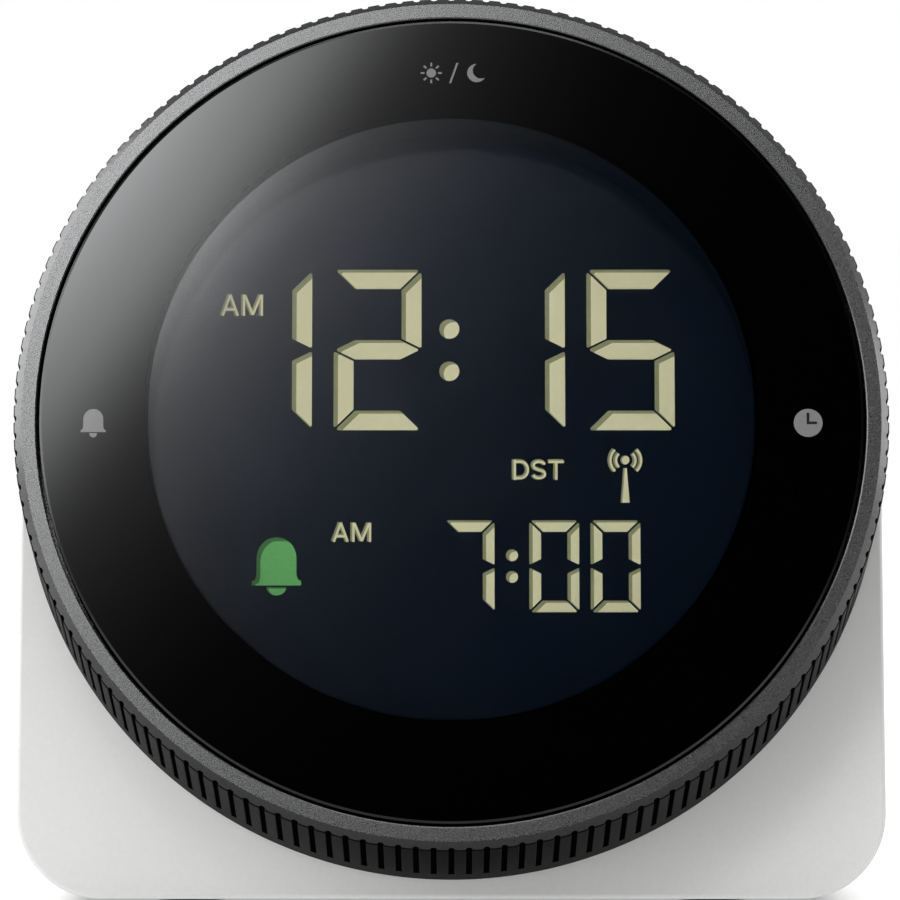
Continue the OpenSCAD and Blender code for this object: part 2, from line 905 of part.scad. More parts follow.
// Chassis: recess tube, glass seat and flange with the pivot posts
module chassis() {
  color(black)
    face()
      difference() {
        union() {
          rotate_extrude()
            polygon([
              [tube_in_r, -tube_front], [tube_r, -tube_front], [tube_r, -shelf_d],
              [seat_out_r, -shelf_d], [seat_out_r, -flange_d], [flange_r, -flange_d],
              [flange_r, -flange_back], [seat_r, -flange_back], [seat_r, -glass_d],
              [tube_in_r, -glass_d]
            ]);
          for (angle = [0, 180])
            at_polar(lug_r + lug_len / 2, angle)
              bar([lug_len, lug_w], post_front, flange_d + eps);
          for (angle = clamp_angles)
            at_polar(clamp_r, angle)
              plate(ear_r, retainer_d + retainer_t, flange_d + eps);
          for (angle = board_screw_angles)
            at_polar(board_screw_r, angle)
              plate(screw_head_r + 2 * ear_margin, flange_back - eps, board_d);
        }
        for (angle = [0, 180])
          pivot_hole(angle);
        for (angle = clamp_angles)
          at_polar(clamp_r, angle)
            plate(screw_r + screw_play, retainer_d, flange_back + eps);
        for (angle = board_screw_angles)
          at_polar(board_screw_r, angle)
            plate(screw_r + fit_run, flange_d + flange_t / 3, board_d + eps);
        for (angle = plunger_angles)
          at_polar(plunger_circle_r, angle)
            plate(plunger_r + fit_run, shelf_d - eps, flange_back + eps);
        at_polar(encoder_r, encoder_angle) {
          plate(pinion_pitch_r + tooth_add + web_play, web_d - web_play, web_back + web_play);
          plate(encoder_shaft_r + fit_run, web_back, flange_back + eps);
        }
      }
}

module display_glass() {
  color("#1a2028")
    face()
      plate(glass_r, glass_d, glass_back);
}

// Segment of a seven-bar figure in a cell of width w and height h, with stroke t and half gap g
function segment(name, w, h, t, g) =
  name == "a" ? [[g, h], [w - g, h], [w - t - g, h - t], [t + g, h - t]] :
  name == "b" ? [[w, h - g], [w, h / 2 + g], [w - t, h / 2 + t / 2 + g], [w - t, h - t - g]] :
  name == "c" ? [[w, g], [w - t, t + g], [w - t, h / 2 - t / 2 - g], [w, h / 2 - g]] :
  name == "d" ? [[g, 0], [t + g, t], [w - t - g, t], [w - g, 0]] :
  name == "e" ? [[0, g], [0, h / 2 - g], [t, h / 2 - t / 2 - g], [t, t + g]] :
  name == "f" ? [[0, h - g], [t, h - t - g], [t, h / 2 + t / 2 + g], [0, h / 2 + g]] :
  [[g, h / 2], [t + g, h / 2 + t / 2], [w - t - g, h / 2 + t / 2],
   [w - g, h / 2], [w - t - g, h / 2 - t / 2], [t + g, h / 2 - t / 2]];

module figure(bars, w, h, t) {
  half_gap = 0.1;
  for (name = bars)
    polygon(segment(name, w, h, t, half_gap));
}

// Raises a flat sign from the display glass
module sign_relief() {
  face()
    translate([0, 0, -glass_d])
      linear_extrude(height = segment_relief)
        children();
}

module dots(x, heights, r) {
  for (y = heights)
    translate([x, y])
      circle(r = r);
}

// Quarter past twelve: right edges of the four cells round the colon
module time_figures() {
  colon = -time_w / 42;
  rights = [for (step = [-1.565, -0.318, 1.318, 2.565]) colon + step * time_w];
  bars = ["bc", "abged", "bc", "afgcd"];
  low = time_h / 80;
  color(cream)
    sign_relief() {
      for (i = [0 : 3])
        translate([rights[i] - time_w, low])
          figure(bars[i], time_w, time_h, time_stroke);
      dots(colon, [low + time_h * 0.37, low + time_h * 0.63], time_stroke / 2);
    }
}

// Seven o'clock
module alarm_figures() {
  rights = [for (step = [0.865, 2.563, 3.792]) step * alarm_w];
  bars = ["abc", "abcdef", "abcdef"];
  low = -1.972 * alarm_h;
  color(cream)
    sign_relief() {
      for (i = [0 : 2])
        translate([rights[i] - alarm_w, low])
          figure(bars[i], alarm_w, alarm_h, alarm_stroke);
      dots(1.21 * alarm_w, [low + alarm_h * 0.38, low + alarm_h * 0.62], alarm_stroke / 2);
    }
}

// Alarm bell: dome, flare and clapper
module bell_sign() {
  dome_r = 1.92;
  brim = 2.37;
  foot = -15.1;
  color("#58a356")
    sign_relief()
      translate([-16.83, foot]) {
        translate([0, 2.8])
          circle(r = dome_r);
        polygon([
          [-brim, 0], [brim, 0], [brim, 0.35], [dome_r, 1.1], [dome_r, 2.8],
          [-dome_r, 2.8], [-dome_r, 1.1], [-brim, 0.35]
        ]);
        difference() {
          translate([0, -0.2])
            circle(r = 0.75);
          translate([-1, -0.2])
            square([2, 1]);
        }
      }
}

// Mast with waves on both sides
module signal_sign() {
  wave = 0.34;
  color(cream)
    sign_relief()
      translate([16.75, -2.75]) {
        circle(r = 0.44);
        polygon([[-0.17, -0.8], [0.17, -0.8], [0.44, -4.2], [-0.44, -4.2]]);
        for (r = [0.94, 1.48])
          intersection() {
            difference() {
              circle(r = r + wave / 2);
              circle(r = r - wave / 2);
            }
            for (side = [-1, 1])
              polygon([[0, 0], [2 * side, 2], [2 * side, -2]]);
          }
      }
}

// Light guide, cut back for the contact strips and the lamps
module light_guide() {
  color("#f2f2ea")
    face()
      difference() {
        intersection() {
          plate(glass_r - glass_fit, glass_back, guide_back);
          bar([far, 2 * guide_half], glass_back - eps, guide_back + eps);
        }
        for (side = [-1, 1])
          translate([side * glass_r, 0, 0])
            bar([2 * lamp_room, lamp[1] + 1], glass_back - eps, guide_back + eps);
      }
}

module contact_strips() {
  color("#3a3a3c")
    face()
      for (side = [-1, 1])
        translate([0, side * strip_y, 0])
          bar(strip, glass_back, board_d);
}

module backlight_leds() {
  color("#f4f1dc")
    face()
      for (side = [-1, 1])
        translate([side * (glass_r - lamp_room / 2), 0, 0])
          bar(lamp, glass_back + lamp_gap, board_d);
}

// Round circuit board, notched for the clamp bosses
module main_board() {
  color("#2f6b45")
    face()
      difference() {
        plate(board_r, board_d, board_back);
        for (angle = clamp_angles)
          at_polar(clamp_r, angle) {
            plate(notch_r, board_d - eps, board_back + eps);
            translate([notch_r, 0, 0])
              bar([2 * notch_r, 2 * notch_r], board_d - eps, board_back + eps);
          }
        for (angle = board_screw_angles)
          at_polar(board_screw_r, angle)
            plate(screw_r + screw_play, board_d - eps, board_back + eps);
      }
}

module board_screws() {
  board_head_t = 0.9;
  color(steel)
    face()
      for (angle = board_screw_angles)
        at_polar(board_screw_r, angle) {
          plate(screw_head_r, board_back, board_back + board_head_t);
          plate(screw_r, flange_d + flange_t / 2, board_back + board_head_t / 2);
        }
}

module clock_chip() {
  color(black)
    face()
      plate(board_r / 6, board_back, board_back + 0.75 * board_t);
}

module quartz_can() {
  can_r = 0.03 * board_r;
  color(steel)
    face()
      translate([board_r / 3, board_r / 12, -board_back - can_r])
        rotate([90, 0, 0])
          cylinder(r = can_r, h = board_r / 6);
}

// Receiver board with its chip, on the back of the main board
module receiver_module() {
  color("#2f6b45")
    face()
      translate([-0.43 * board_r, 0.38 * board_r, 0]) {
        bar([0.4 * board_r, 0.3 * board_r], board_back, board_back + board_t / 2);
        bar([0.14 * board_r, 0.14 * board_r], board_back + board_t / 4, board_back + 1.2 * board_t);
      }
}

module ferrite_rod() {
  color("#3b3b3e")
    at_back()
      translate([-ferrite_len / 2, ferrite_z, ferrite_in])
        rotate([0, 90, 0])
          cylinder(r = ferrite_r, h = ferrite_len);
}

module aerial_winding() {
  color("#b0672f")
    at_back()
      translate([-winding_half, ferrite_z, ferrite_in])
        rotate([0, 90, 0])
          difference() {
            cylinder(r = ferrite_r + winding_t, h = 2 * winding_half);
            translate([0, 0, -eps])
              cylinder(r = ferrite_r + fit_run, h = 2 * winding_half + 2 * eps);
          }
}

module aerial_cradles() {
  color(black)
    at_back()
      difference() {
        for (side = [-1, 1])
          translate([side * cradle_x - cradle_w / 2, ferrite_z - ferrite_r - 1, cover_t])
            cube([cradle_w, 2 * ferrite_r + 2, ferrite_in - cover_t]);
        translate([-far / 2, ferrite_z, ferrite_in])
          rotate([0, 90, 0])
            cylinder(r = ferrite_r + fit_run, h = far);
      }
}

module sounder_gasket() {
  color("#3a3a3c")
    at_back()
      translate([0, speaker_z, cover_t])
        difference() {
          cylinder(r = speaker_r, h = gasket_t);
          translate([0, 0, -eps])
            cylinder(r = speaker_r - 1.2, h = gasket_t + 2 * eps);
        }
}

module sounder() {
  color(black)
    at_back()
      translate([0, speaker_z, cover_t + gasket_t])
        difference() {
          cylinder(r = speaker_r, h = speaker_t);
          translate([0, 0, -eps])
            cylinder(r = 1.5, h = speaker_t / 2 + eps);
        }
}

// Two cells, lying one above the other, head to tail
module battery_cells() {
  nub = 0.8;
  color("#4a4f57")
    at_back()
      for (i = [0, 1])
        translate([0, cell_places[i], cell_in])
          rotate([0, i == 0 ? 90 : -90, 0]) {
            translate([0, 0, -cell_len / 2])
              cylinder(r = cell_r, h = cell_len - nub);
            translate([0, 0, cell_len / 2 - nub - eps])
              cylinder(r = 1.9, h = nub + eps);
          }
}

// Contact at one end of a cell: a plate against the bay wall with a boss towards the cell
module cell_contact(side, place, boss) {
  at_back()
    translate([side * bay_w / 2, place, cell_in])
      rotate([0, side * -90, 0]) {
        translate([-cell_r * 0.8, -cell_r * 0.8, 0])
          cube([cell_r * 1.6, cell_r * 1.6, contact_t]);
        translate([0, 0, contact_t / 2])
          cylinder(r1 = cell_r * 0.6, r2 = cell_r * 0.3, h = boss - contact_t / 2);
      }
}

module spring_contacts() {
  color(steel) {
    cell_contact(-1, cell_places[0], contact_room - screw_play);
    cell_contact(1, cell_places[1], contact_room - screw_play);
  }
}

module plate_contacts() {
  color(steel) {
    cell_contact(1, cell_places[0], contact_room - screw_play);
    cell_contact(-1, cell_places[1], contact_room - screw_play);
  }
}

module zone_switch_body() {
  room = zone_knob[0] + 2 * (zone_travel + zone_play);
  color(black)
    at_back()
      translate([control_x, speaker_z, cover_t])
        difference() {
          translate([-zone_body[0] / 2, -zone_body[1] / 2, 0])
            cube(zone_body);
          translate([-room / 2, -zone_knob[1] / 2 - zone_play, -eps])
            cube([room, zone_knob[1] + 2 * zone_play, zone_body[2] / 2 + eps]);
        }
}

module zone_switch_knob() {
  top = 0.2;
  color(black)
    at_back()
      translate([control_x, speaker_z, 0])
        difference() {
          translate([-zone_knob[0] / 2, -zone_knob[1] / 2, top])
            cube([zone_knob[0], zone_knob[1], cover_t + zone_body[2] / 2 - top - zone_play]);
          for (x = [-0.8, 0, 0.8])
            translate([x - 0.15, -zone_knob[1] / 2 - eps, top - eps])
              cube([0.3, zone_knob[1] + 2 * eps, eps + 0.25]);
        }
}

module reset_switch_body() {
  color(black)
    at_back()
      translate([-control_x, speaker_z, cover_t])
        difference() {
          translate([-reset_body[0] / 2, -reset_body[1] / 2, 0])
            cube(reset_body);
          translate([0, 0, -eps])
            cylinder(r = reset_flange_r + screw_play, h = 0.8 + reset_travel + eps);
          translate([0, 0, -eps])
            cylinder(r = reset_r + screw_play, h = 2 + reset_travel + eps);
        }
}

module reset_button() {
  color("#c9c9c6")
    at_back()
      translate([-control_x, speaker_z, 0]) {
        translate([0, 0, 0.4])
          cylinder(r = reset_r, h = cover_t + 1.4);
        translate([0, 0, cover_t + screw_play])
          cylinder(r = reset_flange_r, h = 0.5);
      }
}

// One wire through a list of points in the stand
module wire(points) {
  for (i = [0 : len(points) - 2]) {
    run = points[i + 1] - points[i];
    translate(points[i])
      rotate([0, acos(run[2] / norm(run)), atan2(run[1], run[0])])
        cylinder(r = wire_r, h = norm(run));
    if (i > 0) {
      // The ball's seam is turned to the outside of the bend
      back = points[i - 1] - points[i];
      inside = back / norm(back) + run / norm(run);
      translate(points[i])
        rotate([0, 0, atan2(-inside[1], -inside[0])])
          sphere(r = wire_bend_r);
    }
  }
}

// Place on the face frame, in the object's own frame
function face_point(x, up, depth) = [
  x,
  face_y + up * sin(tilt) + depth * cos(tilt),
  face_z + up * cos(tilt) - depth * sin(tilt)
];

// Leads from the battery bay and the sounder to the board
module inner_wires() {
  color("#a33a34")
    for (side = [-1, 1]) {
      bay = [side * (bay_w / 2 - 1), back_y - bay_depth - bay_wall / 2, cell_places[1]];
      up = face_point(side * 0.43 * board_r, -0.6 * board_r, board_back);
      wire([
        bay, bay - [0, bay_depth / 2, 0], up + [0, 0.4 * bay_depth, 0], up + [0, screw_play, 0]
      ]);
      tone = [
        side * 0.42 * speaker_r,
        back_y - cover_t - gasket_t - speaker_t - screw_play,
        speaker_z - 0.42 * speaker_r
      ];
      pad = face_point(side * 0.27 * board_r, 0, board_back);
      wire([tone, tone - [0, speaker_t, 0], pad + [0, 1.25 * speaker_t, 0], pad + [0, screw_play, 0]]);
    }
}

front_housing();
rear_cover();
battery_door();
rubber_feet();
cover_screws();
setting_ring();
ring_retainer();
glide_washer();
clamp_screws();
front_lens();
lens_mask();
lens_tape();
lens_carrier();
gimbal_ring();
light_plunger();
alarm_plunger();
clock_plunger();
press_switches();
chassis();
display_glass();
time_figures();
alarm_figures();
bell_sign();
signal_sign();
light_guide();
contact_strips();
backlight_leds();
main_board();
board_screws();
encoder_body();
encoder_pinion();
clock_chip();
quartz_can();
receiver_module();
ferrite_rod();
aerial_winding();
aerial_cradles();
sounder();
sounder_gasket();
battery_cells();
spring_contacts();
plate_contacts();
zone_switch_body();
zone_switch_knob();
reset_switch_body();
reset_button();
inner_wires();
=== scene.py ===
"""Radio-controlled alarm clock with a turning setting ring: its looks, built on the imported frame.

Lengths in this file are in millimetres and are brought to metres when a mesh is placed.
"""
import json
import math

import bmesh
import bpy
from mathutils import Matrix, Vector


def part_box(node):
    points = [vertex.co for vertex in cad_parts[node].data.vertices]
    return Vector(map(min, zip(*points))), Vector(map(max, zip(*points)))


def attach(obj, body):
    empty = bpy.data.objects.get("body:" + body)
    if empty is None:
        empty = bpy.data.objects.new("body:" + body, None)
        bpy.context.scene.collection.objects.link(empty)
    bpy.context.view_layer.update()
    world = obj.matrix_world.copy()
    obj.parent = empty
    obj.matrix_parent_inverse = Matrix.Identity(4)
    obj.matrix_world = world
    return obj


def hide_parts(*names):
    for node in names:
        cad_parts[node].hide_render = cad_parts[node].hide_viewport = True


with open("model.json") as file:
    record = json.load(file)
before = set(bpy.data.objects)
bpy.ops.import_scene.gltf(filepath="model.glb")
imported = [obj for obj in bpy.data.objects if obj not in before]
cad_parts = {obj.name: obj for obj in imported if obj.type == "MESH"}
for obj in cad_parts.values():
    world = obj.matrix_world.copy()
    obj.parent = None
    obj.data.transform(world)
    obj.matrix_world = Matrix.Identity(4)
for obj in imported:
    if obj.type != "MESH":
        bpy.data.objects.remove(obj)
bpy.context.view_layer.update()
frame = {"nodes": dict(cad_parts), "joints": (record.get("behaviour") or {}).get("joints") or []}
scene = bpy.context.scene

MM = 0.001
TURN = 2 * math.pi
SEED = 7

# Sizes of the object, in mm

RING_R = 42.0
RING_LEN = 17.0
FACE_R = 41.2
LIP_R = 39.8
BORE_R = 40.0
SHOULDER_LEN = 0.9
GROOVES = 156
GROOVE_W = 0.58
GROOVE_FLOOR_R = 41.7
GROOVE_END = 13.6
WEB = (6.4, 7.8)
# Depth at which the lip ends and the bore starts
BORE_START = WEB[0] + 0.7
GEAR_TEETH = 152
GEAR_TIP_R = 37.6
GEAR_ROOT_R = 38.6
# The toothed web reaches into the ring's wall
GEAR_RIM_R = 40.4
GEAR_START = math.radians(-45)

LENS_R = 39.5
LENS_BEVEL = 0.15
LENS_T = 2.0
WINDOW_R = 29.08
# Height of the window's lower and upper arcs' centres over the axis
WINDOW_LOW = -0.22
WINDOW_HIGH = 0.95
MASK_R = 39.1
GLASS_R = 31.6
GLASS_FRONT = 7.0
GLASS_BACK = 9.2

STAND_FRONT = 17.5
WALL = 2.2
STAND_HALF = 42.2
CORNER_R = 8.3
FOOT_PROUD = 0.4
FOOT_R = 4.0
FOOT_SUNK = 0.8
FOOT_INSET = 8.5
COLLAR = (37.54, 39.94, 8.5)
COVER_T = 2.6
COVER_POST_R = 2.8
CLAMP_R = 35.2
CLAMP_ANGLES = (45, 135, 225)

# Frames of the face and the back

spin = next(joint for joint in frame["joints"] if joint["name"] == "ring_spin")
FACE_CENTRE = Vector(spin["pos_m"])
FACE_OUT = Vector(spin["axis"]).normalized()
FACE_UP = FACE_OUT.cross(Vector((1, 0, 0)))
# Face frame: x right, y up along the face, z out of the face, so a depth d is z = -d
FACE = Matrix((Vector((1, 0, 0)) * MM, FACE_UP * MM, FACE_OUT * MM)).transposed().to_4x4()
FACE.translation = FACE_CENTRE
UPRIGHT = Matrix.Scale(MM, 4)
BACK_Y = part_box("rear_cover")[1].y / MM
# Back frame: x as the object, y up, z into the stand from its back plane
BACK = Matrix(((MM, 0, 0, 0), (0, 0, -MM, BACK_Y * MM), (0, MM, 0, 0), (0, 0, 0, 1)))
FACE_Y, FACE_Z = FACE_CENTRE.y / MM, FACE_CENTRE.z / MM
LEAN_COS, LEAN_SIN = -FACE_OUT.y, FACE_OUT.z
AXIS_Z = FACE_Z - STAND_FRONT * LEAN_SIN
ARCH_Z = AXIS_Z - STAND_HALF * (1 - LEAN_COS)


def plane_y(depth, z):
    """y of the leaning plane at a depth behind the face, at a height z."""
    return FACE_Y + (depth + LEAN_SIN * (z - FACE_Z)) / LEAN_COS


# Mesh making

def shade(mesh, crease=35):
    """Smooth shading, with edges past the crease angle sharp."""
    mesh.shade_smooth()
    mesh.set_sharp_from_angle(angle=math.radians(crease))


def settle(mesh, place, crease=35):
    """Places a mesh, turns its faces outwards and makes edges past the crease angle sharp."""
    mesh.transform(place)
    work = bmesh.new()
    work.from_mesh(mesh)
    bmesh.ops.recalc_face_normals(work, faces=work.faces)
    work.to_mesh(mesh)
    work.free()
    shade(mesh, crease)
    return mesh


def disc(centre, r, steps=48):
    """(x, y) points of a circle."""
    return [(centre[0] + r * math.cos(TURN * k / steps), centre[1] + r * math.sin(TURN * k / steps))
            for k in range(steps)]


class Shape:
    """Points and faces of one piece, gathered from loops, turned forms and plates."""

    def __init__(self):
        self.points = []
        self.faces = []

    def skin(self, loops, wrap=False):
        """Faces between loops of points; a loop of one point is a pole."""
        starts = []
        for loop in loops:
            starts.append(len(self.points))
            self.points.extend(loop)
        pairs = [(i, i + 1) for i in range(len(loops) - 1)]
        if wrap:
            pairs.append((len(loops) - 1, 0))
        for a, b in pairs:
            na, nb = len(loops[a]), len(loops[b])
            sa, sb = starts[a], starts[b]
            for i in range(max(na, nb)):
                j = (i + 1) % max(na, nb)
                if na == 1:
                    self.faces.append((sa, sb + j, sb + i))
                elif nb == 1:
                    self.faces.append((sa + i, sa + j, sb))
                else:
                    self.faces.append((sa + i, sa + j, sb + j, sb + i))
        return self

    def lathe(self, profile, segments=192, centre=(0, 0)):
        """Turns (radius, height) points round the z axis at a centre."""
        loops = []
        for r, h in profile:
            if r < 1e-6:
                loops.append([(centre[0], centre[1], h)])
            else:
                loops.append([(x, y, h) for x, y in disc(centre, r, segments)])
        return self.skin(loops)

    def slab(self, outline, low, high):
        """A flat plate with an outline of (x, y) points between two heights."""
        n = len(outline)
        s = len(self.points)
        self.points.extend([(x, y, low) for x, y in outline] + [(x, y, high) for x, y in outline])
        self.faces.append(tuple(range(s + n - 1, s - 1, -1)))
        self.faces.append(tuple(range(s + n, s + 2 * n)))
        for i in range(n):
            j = (i + 1) % n
            self.faces.append((s + i, s + j, s + n + j, s + n + i))
        return self

    def plate(self, outline, low, high):
        """A flat plate like a slab, whose outline may also bend inwards."""
        work = bmesh.new()
        ring = [work.verts.new((x, y, 0)) for x, y in outline]
        edges = [work.edges.new((ring[i - 1], ring[i])) for i in range(len(ring))]
        bmesh.ops.triangle_fill(work, use_beauty=True, use_dissolve=False, edges=edges)
        work.verts.index_update()
        s, n = len(self.points), len(work.verts)
        for height in (low, high):
            self.points.extend([(v.co.x, v.co.y, height) for v in work.verts])
        for f in work.faces:
            ids = [v.index for v in f.verts]
            self.faces.append(tuple(s + i for i in reversed(ids)))
            self.faces.append(tuple(s + n + i for i in ids))
        for i in range(len(ring)):
            a, b = ring[i - 1].index, ring[i].index
            self.faces.append((s + a, s + b, s + n + b, s + n + a))
        work.free()
        return self

    def raw(self, name):
        """The shape as a mesh in mm, not placed yet."""
        made = bpy.data.meshes.new(name)
        made.from_pydata(self.points, [], self.faces)
        return made

    def mesh(self, name, place, crease=35):
        """The shape as a placed mesh."""
        return settle(self.raw(name), place, crease)


def rounded(a, corner, b, r, steps=4):
    """Points of an arc that rounds the corner of a profile between a and b."""
    a, corner, b = Vector(a), Vector(corner), Vector(b)
    to_a, to_b = (a - corner).normalized(), (b - corner).normalized()
    half = to_a.angle(to_b) / 2
    start = corner + to_a * (r / math.tan(half))
    end = corner + to_b * (r / math.tan(half))
    centre = corner + (to_a + to_b).normalized() * (r / math.sin(half))
    from_c, to_c = start - centre, end - centre
    sweep = from_c.angle(to_c)
    made = []
    for k in range(steps + 1):
        t = k / steps
        part = (math.sin((1 - t) * sweep) * from_c + math.sin(t * sweep) * to_c) / math.sin(sweep)
        made.append(tuple(centre + part))
    return made


def profile_of(corners):
    """A profile from (radius, height, rounding) corners."""
    made = []
    for i, (r, h, edge) in enumerate(corners):
        if edge and 0 < i < len(corners) - 1:
            made.extend(rounded(corners[i - 1][:2], (r, h), corners[i + 1][:2], edge))
        else:
            made.append((r, h))
    return made


def put(name, data):
    """Puts a mesh, a lamp or a camera in the scene as an object."""
    made = bpy.data.objects.new(name, data)
    scene.collection.objects.link(made)
    return made


def flattened(mesh):
    """Gives large faces their own true normals, so that only the edges between them bend the light."""
    made = put(mesh.name, mesh)
    weigh = made.modifiers.new("normals", "WEIGHTED_NORMAL")
    weigh.mode = "FACE_AREA"
    weigh.weight = 100
    weigh.keep_sharp = True
    return evaluated_mesh(made, mesh.name)


def piece(name, mesh, finishes, body, nodes=()):
    """Puts a mesh in the scene as a piece that rides on a body and stands for CAD nodes."""
    made = put(name, mesh)
    for i, finish in enumerate(finishes):
        if i < len(mesh.materials):
            mesh.materials[i] = finish
        else:
            mesh.materials.append(finish)
    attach(made, body)
    if nodes:
        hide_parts(*nodes)


def evaluated_mesh(made, name):
    """The object's mesh after its modifiers, as a plain mesh; the object itself is removed."""
    bpy.context.view_layer.update()
    graph = bpy.context.evaluated_depsgraph_get()
    mesh = bpy.data.meshes.new_from_object(made.evaluated_get(graph))
    mesh.name = name
    made.modifiers.clear()
    old = made.data
    bpy.data.objects.remove(made)
    if old.users == 0:
        bpy.data.meshes.remove(old)
    return mesh


# Nodes: one function adds any of them

def plug(tree, node, sockets):
    """Sets sockets of a node, each to a constant or to another node's output."""
    for key, value in sockets.items():
        if isinstance(value, bpy.types.NodeSocket):
            tree.links.new(value, node.inputs[key])
        else:
            node.inputs[key].default_value = value


def add_node(tree, kind, sockets=None, **settings):
    """Adds a node with its settings and its sockets."""
    made = tree.nodes.new(kind)
    for key, value in settings.items():
        setattr(made, key, value)
    plug(tree, made, sockets or {})
    return made


def reckon(tree, operation, *values):
    """Result of a maths node on constants or other nodes' outputs."""
    return add_node(tree, "ShaderNodeMath", dict(enumerate(values)), operation=operation).outputs[0]


def vector_reckon(tree, operation, *values):
    """Result of a vector maths node: a number for a length or a dot product, or else a vector."""
    made = add_node(tree, "ShaderNodeVectorMath", dict(enumerate(values)), operation=operation)
    return made.outputs["Value" if operation in ("LENGTH", "DOT_PRODUCT") else "Vector"]


def ranged(tree, value, low, high, first=0.0, last=1.0, curve="LINEAR"):
    """Brings a value from the range low to high into the range first to last."""
    ends = {"Value": value, "From Min": low, "From Max": high, "To Min": first, "To Max": last}
    return add_node(tree, "ShaderNodeMapRange", ends, interpolation_type=curve).outputs["Result"]


def blend(tree, share, start, end):
    """A number between two others: the start at a share of 0, the end at 1."""
    return add_node(tree, "ShaderNodeMix", {0: share, 2: start, 3: end}, data_type="FLOAT").outputs[0]


def linear(code):
    """sRGB hex to linear RGBA."""
    parts = [int(code[i:i + 2], 16) / 255 for i in (1, 3, 5)]
    return tuple(p / 12.92 if p <= 0.04045 else ((p + 0.055) / 1.055) ** 2.4 for p in parts) + (1.0,)


def per(size):
    """Texture scale for a pattern of that size in mm, on coordinates in metres."""
    return 1 / (size * MM)


# Materials

def new_material(name):
    """A material with its tree, its shader and its Object coordinates."""
    made = bpy.data.materials.new(name)
    made.use_nodes = True
    tree = made.node_tree
    shader = tree.nodes["Principled BSDF"]
    place = add_node(tree, "ShaderNodeTexCoord").outputs["Object"]
    return made, tree, shader, place


def between(tree, value, dark, light):
    """A colour between two sRGB hex ends."""
    ramp = add_node(tree, "ShaderNodeValToRGB", {"Fac": value})
    for element, code in zip(ramp.color_ramp.elements, (dark, light)):
        element.color = linear(code)
    return ramp.outputs["Color"]


def relief(tree, height, depth):
    """Normals of a surface whose relief is that deep in mm."""
    bump = add_node(tree, "ShaderNodeBump", {"Height": height, "Distance": depth * MM, "Strength": 1.0})
    return bump.outputs["Normal"]


def speckled(name, dark, light, grain, rough, metallic=0.0, bump=0.0, specular=0.5, coarse=None):
    """A finish whose colour, roughness and relief vary with a grain of a real size in mm.

    dark and light are the two ends of the colour, rough the two ends of the roughness, bump the
    height of the grain in mm, and coarse the size in mm of a slow change of tone over the piece.
    """
    made, tree, shader, place = new_material(name)

    def noise(size, detail):
        return add_node(tree, "ShaderNodeTexNoise", {"Vector": place, "Scale": per(size),
                                                     "Detail": detail}).outputs["Fac"]

    tone = noise(grain, 3.0)
    if coarse:
        tone = reckon(tree, "SQRT", reckon(tree, "MULTIPLY", tone, noise(coarse, 2.0)))
    spread = ranged(tree, tone, 0.3, 0.7)
    plug(tree, shader, {"Base Color": between(tree, spread, dark, light),
                        "Roughness": ranged(tree, spread, 0.0, 1.0, *rough),
                        "Metallic": metallic, "Specular IOR Level": specular})
    if bump:
        plug(tree, shader, {"Normal": relief(tree, spread, bump)})
    return made


# ABS moulded in a spark-eroded tool: an even satin white with a grain that is only felt
white_abs = speckled("moulded_white_abs", "#e1e1e0", "#e7e7e6", 0.45, (0.40, 0.50), bump=0.004, coarse=40)
# ABS moulded in a bead-blasted tool: dull black that hardly reflects
black_abs = speckled("moulded_black_abs", "#0b0c0e", "#131417", 0.3, (0.5, 0.62), bump=0.006, specular=0.35)
# Acetal and nylon, machined or moulded, with a waxy dull surface
grey_acetal = speckled("moulded_grey_acetal", "#7c7e81", "#898b8e", 0.4, (0.42, 0.5), bump=0.003)
pale_acetal = speckled("moulded_pale_acetal", "#d6d3bd", "#dfdcc9", 0.4, (0.4, 0.5), bump=0.003)
# Moulded rubber: flat black with a fine dry grain
foot_rubber = speckled("moulded_rubber", "#141416", "#1e1e20", 0.25, (0.8, 0.92), bump=0.02, specular=0.25)
# Zinc-plated steel: bright, slightly cloudy grey
zinc_steel = speckled("zinc_plated_steel", "#a9adb2", "#c2c5c9", 0.2, (0.24, 0.36), metallic=1.0, coarse=3)
# Sintered ferrite: fine-pored dark grey
ferrite_rod_finish = speckled("sintered_ferrite", "#2a2826", "#383532", 0.15, (0.6, 0.75), bump=0.01)
# Glass-fibre board under green solder resist
board_green = speckled("solder_resist_on_board", "#174a2a", "#1f5c35", 0.6, (0.28, 0.36), bump=0.004,
                       coarse=6)
# PVC wire jacket, extruded smooth
wire_pvc = speckled("extruded_pvc", "#7c2420", "#8c2a25", 0.5, (0.35, 0.42))
# Polyester film printed black on its back, with a blue tint that is painted shade of the display field at the
# window's top
dark_film_painted_shade = speckled("printed_dark_film", "#030d1d", "#040f21", 0.4, (0.3, 0.4), specular=0.0)
# Black lacquer flooded on the back of the lens
back_coat = speckled("flooded_black_lacquer", "#010101", "#020202", 0.4, (0.5, 0.6), specular=0.0)
# Round the window the polished acrylic lies on that lacquer: a deep black with the acrylic's own gloss
ACRYLIC_GLOSS = 0.48
coated_acrylic = speckled("polished_acrylic_on_black", "#010101", "#020202", 0.4, (0.0, 0.0),
                          specular=ACRYLIC_GLOSS)
# The lens's bevel is turned and not polished, so lamps fade out along it
turned_acrylic = speckled("turned_acrylic_on_black", "#010101", "#020202", 0.4, (0.22, 0.26),
                          specular=ACRYLIC_GLOSS)
# Closed-cell foam tape
foam_tape = speckled("foam_tape", "#101113", "#1b1c1e", 0.2, (0.85, 0.95), bump=0.03)


